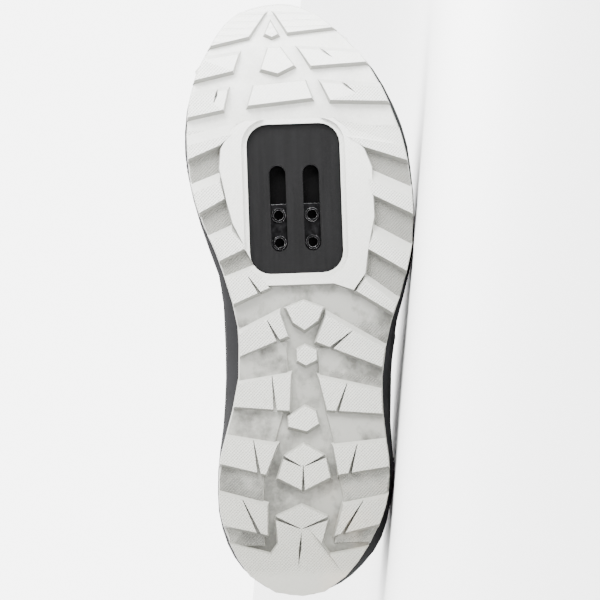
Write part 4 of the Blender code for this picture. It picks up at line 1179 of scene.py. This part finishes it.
class SHOE_OT_cleat_plate(bpy.types.Operator):
    """Black nylon plate with two slots"""

    bl_idname = "shoe.cleat_plate"
    bl_label = "Cleat plate"

    def execute(self, context):
        obj = copy_of("cleat_plate", "cleat_plate_nylon")
        round_edges(obj, ROUND["cleat_plate"], 3)
        finish = nylon_finish(colours())
        finish_piece(obj, finish, node="cleat_plate", flat=True)
        return {"FINISHED"}


class SHOE_OT_nut_plate(bpy.types.Operator):
    """Steel nut plate with four threaded sockets"""

    bl_idname = "shoe.nut_plate"
    bl_label = "Nut plate"

    def execute(self, context):
        obj = copy_of("cleat_nut_plate", "nut_plate_steel")
        two_slots(obj)
        round_edges(obj, ROUND["nut_plate"], material=1)
        mark_edges(obj)
        finish = steel_finish(colours())
        finish_piece(obj, finish, "cleat_nut", node="cleat_nut_plate", flat=True)
        return {"FINISHED"}


# Upper

# Faces along and up each piece that is laid on the form
SHELL_GRID = (288, 34)
LINING_GRID = (216, 24)
PANEL_GRID = (84, 30)
BINDING_GRID = (320, 12)
COLLAR_GRID = (220, 40)

# Height over the feather line of the axis that the knit is mapped round, and its radius there
MAP_AXIS = 0.004
MAP_RADIUS = 0.040

# Turns round the foot that the guards take, and how high they reach, as shares up the ribs
TOE_GUARD_TURN = 0.38
TOE_GUARD_TOP = 0.46
TOE_GUARD_FALL = 0.40
HEEL_GUARD_TURN = 0.34
HEEL_GUARD_LOW = 0.16
HEEL_GUARD_RISE = 0.60


class SHOE_OT_shell(bpy.types.Operator):
    """Knitted shell of the upper with its woven lining"""

    bl_idname = "shoe.shell"
    bl_label = "Shell and lining"

    def execute(self, context):
        own = sizes()
        depth = 2 * own.overlay
        shell = patch("upper_mesh_shell", *SHELL_GRID, lambda u, v: off_upper(u, v, -depth))
        map_over_ridge(shell)
        weld(shell)
        thicken(shell, own.shell, outward=False)
        lay_down(shell)
        finish_piece(shell, mesh_finish(colours()), node="upper")
        depth += own.shell
        lining = patch("upper_lining", *LINING_GRID, lambda u, v: off_upper(u, v, -depth))
        weld(lining)
        thicken(lining, own.lining, outward=False)
        lay_down(lining)
        finish_piece(lining, lining_finish(colours()))
        return {"FINISHED"}


def map_over_ridge(obj):
    """UV map in metres: along the shoe, and round an axis inside it."""
    mesh = obj.data
    flat = np.empty(len(mesh.vertices) * 3)
    mesh.vertices.foreach_get("co", flat)
    points = flat.reshape(-1, 3)
    along = points[:, 0] / LENGTH
    beside = points[:, 1] - TREAD_WIDTH * MIDDLE.at("across", along)
    above = points[:, 2] - feather_z(points[:, 0]) - MAP_AXIS
    away = np.arctan2(beside, above) * MAP_RADIUS
    corners = np.empty(len(mesh.loops), int)
    mesh.loops.foreach_get("vertex_index", corners)
    uv = np.stack([points[corners, 0], away[corners]], axis=1)
    mesh.uv_layers.active.data.foreach_set("uv", uv.ravel())


def toe_guard_top(turn_share):
    """Top edge of the toe guard, as a share up the ribs."""
    return TOE_GUARD_TOP - TOE_GUARD_FALL * np.abs(2 * turn_share - 1) ** 2.4


def heel_guard_top(turn_share):
    """Top edge of the heel guard: high over the heel, low where it ends on the sides."""
    return HEEL_GUARD_LOW + HEEL_GUARD_RISE * np.exp(-((2 * turn_share - 1) / 0.55) ** 2)


def toe_guard(lift):
    def place(u, v):
        return off_upper((u - 0.5) * TOE_GUARD_TURN, toe_guard_top(u) * v, lift)

    return place


def heel_guard(lift):
    def place(u, v):
        return off_upper(0.5 + (u - 0.5) * HEEL_GUARD_TURN, heel_guard_top(u) * v, lift)

    return place


def eyestay_low(share):
    """Lower edge of the eyestay, curved down to a point at its front."""
    return 1 - 0.24 * np.sqrt(1 - (1 - share) ** 4)


def level_top(share):
    return np.ones_like(share)


def sole_edge(share):
    return np.zeros_like(share)


def quarter_top(share):
    """Upper edge of the quarter, a little lower towards the heel."""
    return 0.985 - 0.05 * share


def vamp_top(share):
    """Upper edge of the vamp's side, rising from the toe to the straps."""
    return 0.10 + 0.62 * curve_share(share * 1.05)


# Side panels: layer, where each starts and ends along the shoe, toe end first, and its lower and
# upper edge as shares up the ribs over the share of its way to the heel
SIDE_PANELS = {
    "eyestay": ("upper", 0.715, 0.385, eyestay_low, level_top),
    "quarter": ("lower", 0.415, 0.0, sole_edge, quarter_top),
    "vamp_side": ("lower", 0.86, 0.505, sole_edge, vamp_top),
}

# Points along a row of stitches, and the small lift by which the way outward is found
ROW_POINTS = 160
PROBE = 0.001


def side_panel(name, side):
    """Placing function of a side panel, for a lift."""
    _, from_along, to_along, low, high = SIDE_PANELS[name]

    def at_lift(lift):
        def place(u, v):
            share = u if side == "medial" else 1 - u
            along = from_along + (to_along - from_along) * share
            bottom, top = low(share), high(share)
            return off_upper(turn_at(along, side), bottom + (top - bottom) * v, lift)

        return place

    return at_lift


class SHOE_OT_overlays(bpy.types.Operator):
    """Panels sewn over the shell: toe guard, heel guard, quarters, vamp sides and eyestay"""

    bl_idname = "shoe.overlays"
    bl_label = "Overlays"

    def execute(self, context):
        own = sizes()
        guard = microfibre_finish("black_microfibre", tuple(colours().guard), 0.5)
        grey = microfibre_finish("grey_microfibre", tuple(colours().quarter), 0.7)
        low = -2 * own.overlay
        for side in ("medial", "lateral"):
            for name, panel in SIDE_PANELS.items():
                lower = panel[0] == "lower"
                place = side_panel(name, side)(low)
                thickness = own.overlay if lower else 2 * own.overlay
                self.add(f"{name}_{side}", place, thickness, grey if lower else guard)
        self.add("toe_guard", toe_guard(low), 2 * own.overlay, guard)
        self.add("heel_guard", heel_guard(low), 2 * own.overlay, guard)
        return {"FINISHED"}

    def add(self, name, place, thickness, finish):
        obj = patch(name, *PANEL_GRID, place)
        weld(obj)
        thicken(obj, thickness)
        round_edges(obj, ROUND["panel"], degrees=50.0)
        lay_down(obj)
        finish_piece(obj, finish)


def stitch_rows():
    """Rows of stitches: the panel's placing function, the lift of its layer in overlays, and the
    shares along and up the panel at which the row starts and ends.
    """
    rows = [
        (toe_guard, 0, (0.03, 0.97), (0.955, 0.955)),
        (toe_guard, 0, (0.03, 0.97), (0.895, 0.895)),
        (heel_guard, 0, (0.03, 0.97), (0.965, 0.965)),
        (heel_guard, 0, (0.04, 0.96), (0.930, 0.930)),
    ]
    for side in ("medial", "lateral"):
        ends = (0.06, 0.98) if side == "medial" else (0.94, 0.02)
        front = 0.018 if side == "medial" else 0.982
        eyestay, quarter = side_panel("eyestay", side), side_panel("quarter", side)
        rows += [
            (eyestay, 0, ends, (0.12, 0.12)),
            (eyestay, 0, ends, (0.84, 0.84)),
            (quarter, -1, (front, front), (0.04, 0.76)),
            (side_panel("vamp_side", side), -1, ends, (0.955, 0.955)),
        ]
    return rows


def row_path(at_lift, lift, along, up):
    """Points of a row and the directions away from the surface."""
    u, v = np.linspace(*along, ROW_POINTS), np.linspace(*up, ROW_POINTS)
    path = at_lift(lift)(u, v)
    outward = at_lift(lift + PROBE)(u, v) - path
    return path, outward / np.linalg.norm(outward, axis=1)[:, None]


def add_stitches(name, path, outward):
    """Stitches along a path, each one a bead of thread that dips in at both ends."""
    own = sizes()
    steps = np.linalg.norm(np.diff(path, axis=0), axis=1)
    length = np.concatenate([[0.0], np.cumsum(steps)])
    leave_all()
    bpy.ops.mesh.primitive_uv_sphere_add(segments=8, ring_count=5, radius=0.5)
    obj = bpy.context.object
    obj.name = obj.data.name = name
    thread = (own.stitch, own.thread, own.thread)
    turned = Matrix.Rotation(math.pi / 2, 4, "Y")
    obj.data.transform(Matrix.Diagonal((*thread, 1.0)) @ turned)
    apply_modifier(
        obj,
        "ARRAY",
        count=int(length[-1] / own.stitch_pitch),
        use_relative_offset=False,
        use_constant_offset=True,
        constant_offset_displace=(own.stitch_pitch, 0.0, 0.0),
    )
    flat = np.empty(len(obj.data.vertices) * 3)
    obj.data.vertices.foreach_get("co", flat)
    along, across, height = (flat.reshape(-1, 3) + (own.stitch_pitch / 2, 0.0, 0.0)).T
    within = (along % own.stitch_pitch) / own.stitch_pitch * 2 - 1
    height = height + own.thread * (0.25 - 0.6 * within**2)

    def at(values):
        return np.stack([np.interp(along, length, values[:, i]) for i in range(3)], axis=1)

    way = np.gradient(path, axis=0)
    side = np.cross(outward, way)
    side = side / np.linalg.norm(side, axis=1)[:, None]
    points = at(path) + at(side) * across[:, None] + at(outward) * height[:, None]
    obj.data.vertices.foreach_set("co", points.ravel())
    obj.data.update()
    return obj


def join(objects, name):
    leave_all()
    for obj in objects:
        obj.select_set(True)
    bpy.context.view_layer.objects.active = objects[0]
    bpy.ops.object.join()
    joined = bpy.context.object
    joined.name = joined.data.name = name
    return joined


class SHOE_OT_stitches(bpy.types.Operator):
    """Rows of stitches that hold the overlays"""

    bl_idname = "shoe.stitches"
    bl_label = "Stitches"

    def execute(self, context):
        made = []
        for at_lift, layer, along, up in stitch_rows():
            path, outward = row_path(at_lift, layer * sizes().overlay, along, up)
            made.append(add_stitches("stitch_row", path, outward))
        obj = join(made, "upper_stitches")
        lay_down(obj)
        finish_piece(obj, thread_finish(colours()), degrees=80.0)
        return {"FINISHED"}


# Collar and binding

# Shares of the length at which the throat and the padded collar start
THROAT_FRONT = 0.640
COLLAR_FRONT = 0.400

# Half the height of the binding and of the collar's roll, and how far their middles lie under the
# top edge
BINDING_HALF_HEIGHT = 0.0011
BINDING_DROP = 0.0004
COLLAR_HALF_HEIGHT = 0.0092
COLLAR_DROP = 0.0090

# Share of the collar over which it thins out at each end, and what is left of it there
COLLAR_TAPER = 0.16
COLLAR_THIN = 0.30

# Angles of the troughs in the collar's section, their width in angle and their share of its depth
TROUGHS = (2.55, 3.75)
TROUGH_WIDTH = 0.22
TROUGH_DEPTH = 0.22

# Share up the ribs from which the direction up to the top edge is taken
RIM_SHARE = 0.94


def rim_place(turn):
    """Axes at the top edge: the edge itself, outward and up the ribs, as arrays."""
    top = np.ones_like(turn)
    edge = on_upper(turn, top)
    outward = off_upper(turn, top, PROBE) - edge
    outward = outward / np.linalg.norm(outward, axis=-1)[..., None]
    up = edge - on_upper(turn, RIM_SHARE * top)
    up = up / np.linalg.norm(up, axis=-1)[..., None]
    return edge, outward, up


def rim_tube(name, turns, grid, section):
    """Closed tube along the top edge, with a section in the outward and the upward direction."""

    def place(u, v):
        edge, outward, up = rim_place(turns[0] + (turns[1] - turns[0]) * u)
        across, rise = section(u, 2 * math.pi * v)
        return edge + outward * across[:, None] + up * rise[:, None]

    obj = patch(name, *grid, place)
    weld(obj)
    bpy.ops.object.mode_set(mode="EDIT")
    bpy.ops.mesh.select_all(action="SELECT")
    bpy.ops.mesh.fill_holes(sides=0)
    bpy.ops.mesh.select_all(action="SELECT")
    bpy.ops.mesh.normals_make_consistent(inside=False)
    bpy.ops.object.mode_set(mode="OBJECT")
    return obj


def binding_section(u, angle):
    """Rolled tape round the raw edges of shell, overlays and lining."""
    own = sizes()
    middle = -own.overlay - own.shell
    half = own.shell + own.lining
    rise = BINDING_HALF_HEIGHT * np.sin(angle) - BINDING_DROP
    return middle + half * np.cos(angle), rise


def collar_section(u, angle):
    """Padded roll inside the collar, thin at its ends, with two soft troughs sewn along it."""
    own = sizes()
    full = np.sqrt(curve_share(np.minimum(u, 1 - u) / COLLAR_TAPER))
    half = own.collar_pad / 2 * (COLLAR_THIN + (1 - COLLAR_THIN) * full)
    left = 1 - sum(TROUGH_DEPTH * np.exp(-(((angle - t) / TROUGH_WIDTH) ** 2)) for t in TROUGHS)
    wall = 2 * own.overlay + own.shell + own.lining
    across = -wall - half + half * np.cos(angle) * left
    return across, COLLAR_HALF_HEIGHT * np.sin(angle) - COLLAR_DROP


class SHOE_OT_collar(bpy.types.Operator):
    """Padded collar and the binding along the top edge"""

    bl_idname = "shoe.collar"
    bl_label = "Collar and binding"

    def execute(self, context):
        throat, ankle = turn_at(THROAT_FRONT), turn_at(COLLAR_FRONT)
        binding = rim_tube("top_binding", (throat, 1 - throat), BINDING_GRID, binding_section)
        lay_down(binding)
        finish_piece(binding, binding_finish(colours()), degrees=80.0)
        collar = rim_tube("collar_pad", (ankle, 1 - ankle), COLLAR_GRID, collar_section)
        lay_down(collar)
        finish_piece(collar, lining_finish(colours()), degrees=80.0)
        return {"FINISHED"}


# Soft pieces


class SHOE_OT_tongue(bpy.types.Operator):
    """Padded tongue under the throat"""

    bl_idname = "shoe.tongue"
    bl_label = "Tongue"

    def execute(self, context):
        obj = copy_of("tongue", "tongue_padded")
        round_edges(obj, ROUND["tongue"], 3, 50.0)
        finish_piece(obj, padding_finish(colours()), node="tongue", degrees=60.0)
        return {"FINISHED"}


class SHOE_OT_insole(bpy.types.Operator):
    """Insole with a brushed textile face"""

    bl_idname = "shoe.insole"
    bl_label = "Insole"

    def execute(self, context):
        obj = copy_of("insole", "insole_footbed")
        round_edges(obj, ROUND["insole"], degrees=50.0)
        finish_piece(obj, footbed_finish(colours()), node="insole")
        return {"FINISHED"}


# How far the straps' stitches stay from the edges, how far in angle from the ends, the height of
# the axis that the straps wrap round, and the places along a strap where its edges are looked up
STRAP_MARGIN = 0.0022
STRAP_END = 0.10
STRAP_AXIS_Z = 0.030
STRAP_BINS = 40


class SHOE_OT_straps(bpy.types.Operator):
    """Two straps with hook and loop, sewn along their edges"""

    bl_idname = "shoe.straps"
    bl_label = "Straps"

    def execute(self, context):
        finish = webbing_finish(colours())
        for name in ("strap_forefoot", "strap_instep"):
            obj = copy_of(name, name + "_weave")
            obj.data.transform(TO_SHOE)
            made = [add_stitches("strap_row", *row) for row in strap_rows(obj)]
            round_edges(obj, ROUND["strap"], degrees=50.0)
            lay_down(obj)
            finish_piece(obj, finish, node=name)
            stitches = join(made, name + "_stitches")
            lay_down(stitches)
            finish_piece(stitches, thread_finish(colours()), degrees=80.0)
        return {"FINISHED"}


def strap_rows(obj):
    """Paths of the stitches along both edges of a strap, found by looking in at it from around."""
    bpy.context.view_layer.update()
    mesh = obj.data
    points = np.array([vertex.co for vertex in mesh.vertices])
    ends = np.array([edge.vertices for edge in mesh.edges])
    shares = np.linspace(0.0, 1.0, 12)[:, None, None]
    dense = (points[ends[:, 0]] * (1 - shares) + points[ends[:, 1]] * shares).reshape(-1, 3)
    axis_y = TREAD_WIDTH * float(MIDDLE.at("across", points[:, 0].mean() / LENGTH))
    angle = np.arctan2(dense[:, 1] - axis_y, dense[:, 2] - STRAP_AXIS_Z)
    low, high = angle.min() + STRAP_END, angle.max() - STRAP_END
    places = np.linspace(low, high, STRAP_BINS)
    half_bin = (places[1] - places[0]) * 0.6
    rows = []
    for pick, inward in ((np.min, 1.0), (np.max, -1.0)):
        edge = [pick(dense[abs(angle - place) < half_bin, 0]) for place in places]
        edge = np.convolve(np.pad(edge, 2, mode="edge"), np.full(5, 0.2), mode="valid")
        path, outward = [], []
        for place, x in zip(places, edge + inward * STRAP_MARGIN):
            away = Vector((0.0, math.sin(place), math.cos(place)))
            origin = Vector((x, axis_y, STRAP_AXIS_Z)) + away * TREAD_WIDTH
            found, spot, normal, _ = obj.ray_cast(origin, -away)
            if found:
                path.append(spot)
                outward.append(normal)
        rows.append((np.array(path), np.array(outward)))
    return rows


# Stage

# Width that the picture shows, how far off the camera stands, where it looks in the shoe's own
# axes, and how far the shoe leans in the photograph, in degrees
FRAME_WIDTH = 0.2504
CAMERA_REACH = 1.4
FRAME_CENTRE = (0.1245, 0.0035, 0.0)
FRAME_LEAN = 2.0

# Brightness of the surround before, behind and over the shoe, and the parts of its directions over
# which it goes from one to the next
SKY_FRONT = 0.35
SKY_BEHIND = 6.4
SKY_TOP = 6.5
SKY_ROUND = (-0.1, 0.6)
SKY_UP = (0.35, 0.95)

# Where each lamp stands, its width and its power, and the point that the lamps look at
LAMPS = {
    "key": ((0.44, -0.44, 0.27), 0.26, 12.0),
    "fill": ((-0.9, -1.1, 0.6), 0.9, 1.0),
}
LAMP_AIM = (0.0, 0.0, 0.05)

FLOOR_SIZE = 60.0


class SHOE_OT_stage(bpy.types.Operator):
    """Pale floor, soft light and the camera straight over the sole"""

    bl_idname = "shoe.stage"
    bl_label = "Stage"

    def execute(self, context):
        add_floor()
        add_lights()
        add_camera()
        return {"FINISHED"}


def add_floor():
    leave_all()
    bpy.ops.mesh.primitive_plane_add(size=FLOOR_SIZE)
    floor = bpy.context.object
    floor.name = "floor"
    dress(floor, floor_finish(colours()))


def add_sky():
    """White surround, dim in front so that the dark pieces keep their depth."""
    world = bpy.data.worlds.new("studio")
    bpy.context.scene.world = world
    world.use_nodes = True
    tree = world.node_tree
    way = node(tree, "ShaderNodeTexCoord").outputs["Generated"]
    axes = node(tree, "ShaderNodeSeparateXYZ", {"Vector": way})
    round_it = spread(tree, axes.outputs["Y"], *SKY_ROUND, SKY_FRONT, SKY_BEHIND)
    strength = spread(tree, axes.outputs["Z"], *SKY_UP, round_it, SKY_TOP)
    background = tree.nodes["Background"]
    background.inputs["Color"].default_value = (1.0, 1.0, 1.0, 1.0)
    tree.links.new(strength, background.inputs["Strength"])


def add_lights():
    add_sky()
    for name, (place, width, power) in LAMPS.items():
        light = bpy.data.lights.new(name, "AREA")
        light.energy = power
        light.size = width
        lamp = bpy.data.objects.new(name, light)
        bpy.context.scene.collection.objects.link(lamp)
        lamp.location = place
        away = Vector(LAMP_AIM) - Vector(place)
        lamp.rotation_euler = away.to_track_quat("-Z", "Y").to_euler()


def add_camera():
    """Camera square to the sole, the shoe's axis leaning as in the photograph."""
    turned = LIE @ Matrix.Rotation(math.radians(FRAME_LEAN), 4, "Z")
    right = Vector(turned.col[1][:3])
    up = Vector(turned.col[0][:3])
    camera = bpy.data.cameras.new("camera")
    camera.lens = camera.sensor_width * CAMERA_REACH / FRAME_WIDTH
    obj = bpy.data.objects.new("camera", camera)
    bpy.context.scene.collection.objects.link(obj)
    back = right.cross(up)
    place = LIE @ Vector(FRAME_CENTRE) + back * CAMERA_REACH
    axes = Matrix((right, up, back)).transposed().to_4x4()
    obj.matrix_world = Matrix.Translation(place) @ axes
    bpy.context.scene.camera = obj


# Sidebar


PIECES = (
    SHOE_OT_outsole,
    SHOE_OT_midsole,
    SHOE_OT_cleat_plate,
    SHOE_OT_nut_plate,
    SHOE_OT_shell,
    SHOE_OT_overlays,
    SHOE_OT_stitches,
    SHOE_OT_collar,
    SHOE_OT_tongue,
    SHOE_OT_insole,
    SHOE_OT_straps,
    SHOE_OT_stage,
)


class SHOE_PT_sidebar(bpy.types.Panel):
    """Sizes, colours and the operators that make the shoe"""

    bl_label = "Cycling shoe"
    bl_idname = "SHOE_PT_sidebar"
    bl_space_type = "VIEW_3D"
    bl_region_type = "UI"
    bl_category = "Shoe"

    def draw(self, context):
        layout = self.layout
        for group in (context.scene.shoe_sizes, context.scene.shoe_colours):
            box = layout.box()
            for name in group.__annotations__:
                box.prop(group, name)
        for operator in PIECES:
            layout.operator(operator.bl_idname)


CLASSES = (ShoeColours, ShoeSizes, *PIECES, SHOE_PT_sidebar)


def register():
    for made in CLASSES:
        bpy.utils.register_class(made)
    bpy.types.Scene.shoe_colours = bpy.props.PointerProperty(type=ShoeColours)
    bpy.types.Scene.shoe_sizes = bpy.props.PointerProperty(type=ShoeSizes)


def unregister():
    del bpy.types.Scene.shoe_sizes
    del bpy.types.Scene.shoe_colours
    for made in reversed(CLASSES):
        bpy.utils.unregister_class(made)


def main():
    register()
    for operator in PIECES:
        getattr(bpy.ops.shoe, operator.bl_idname.split(".")[1])()


if __name__ == "__main__":
    main()
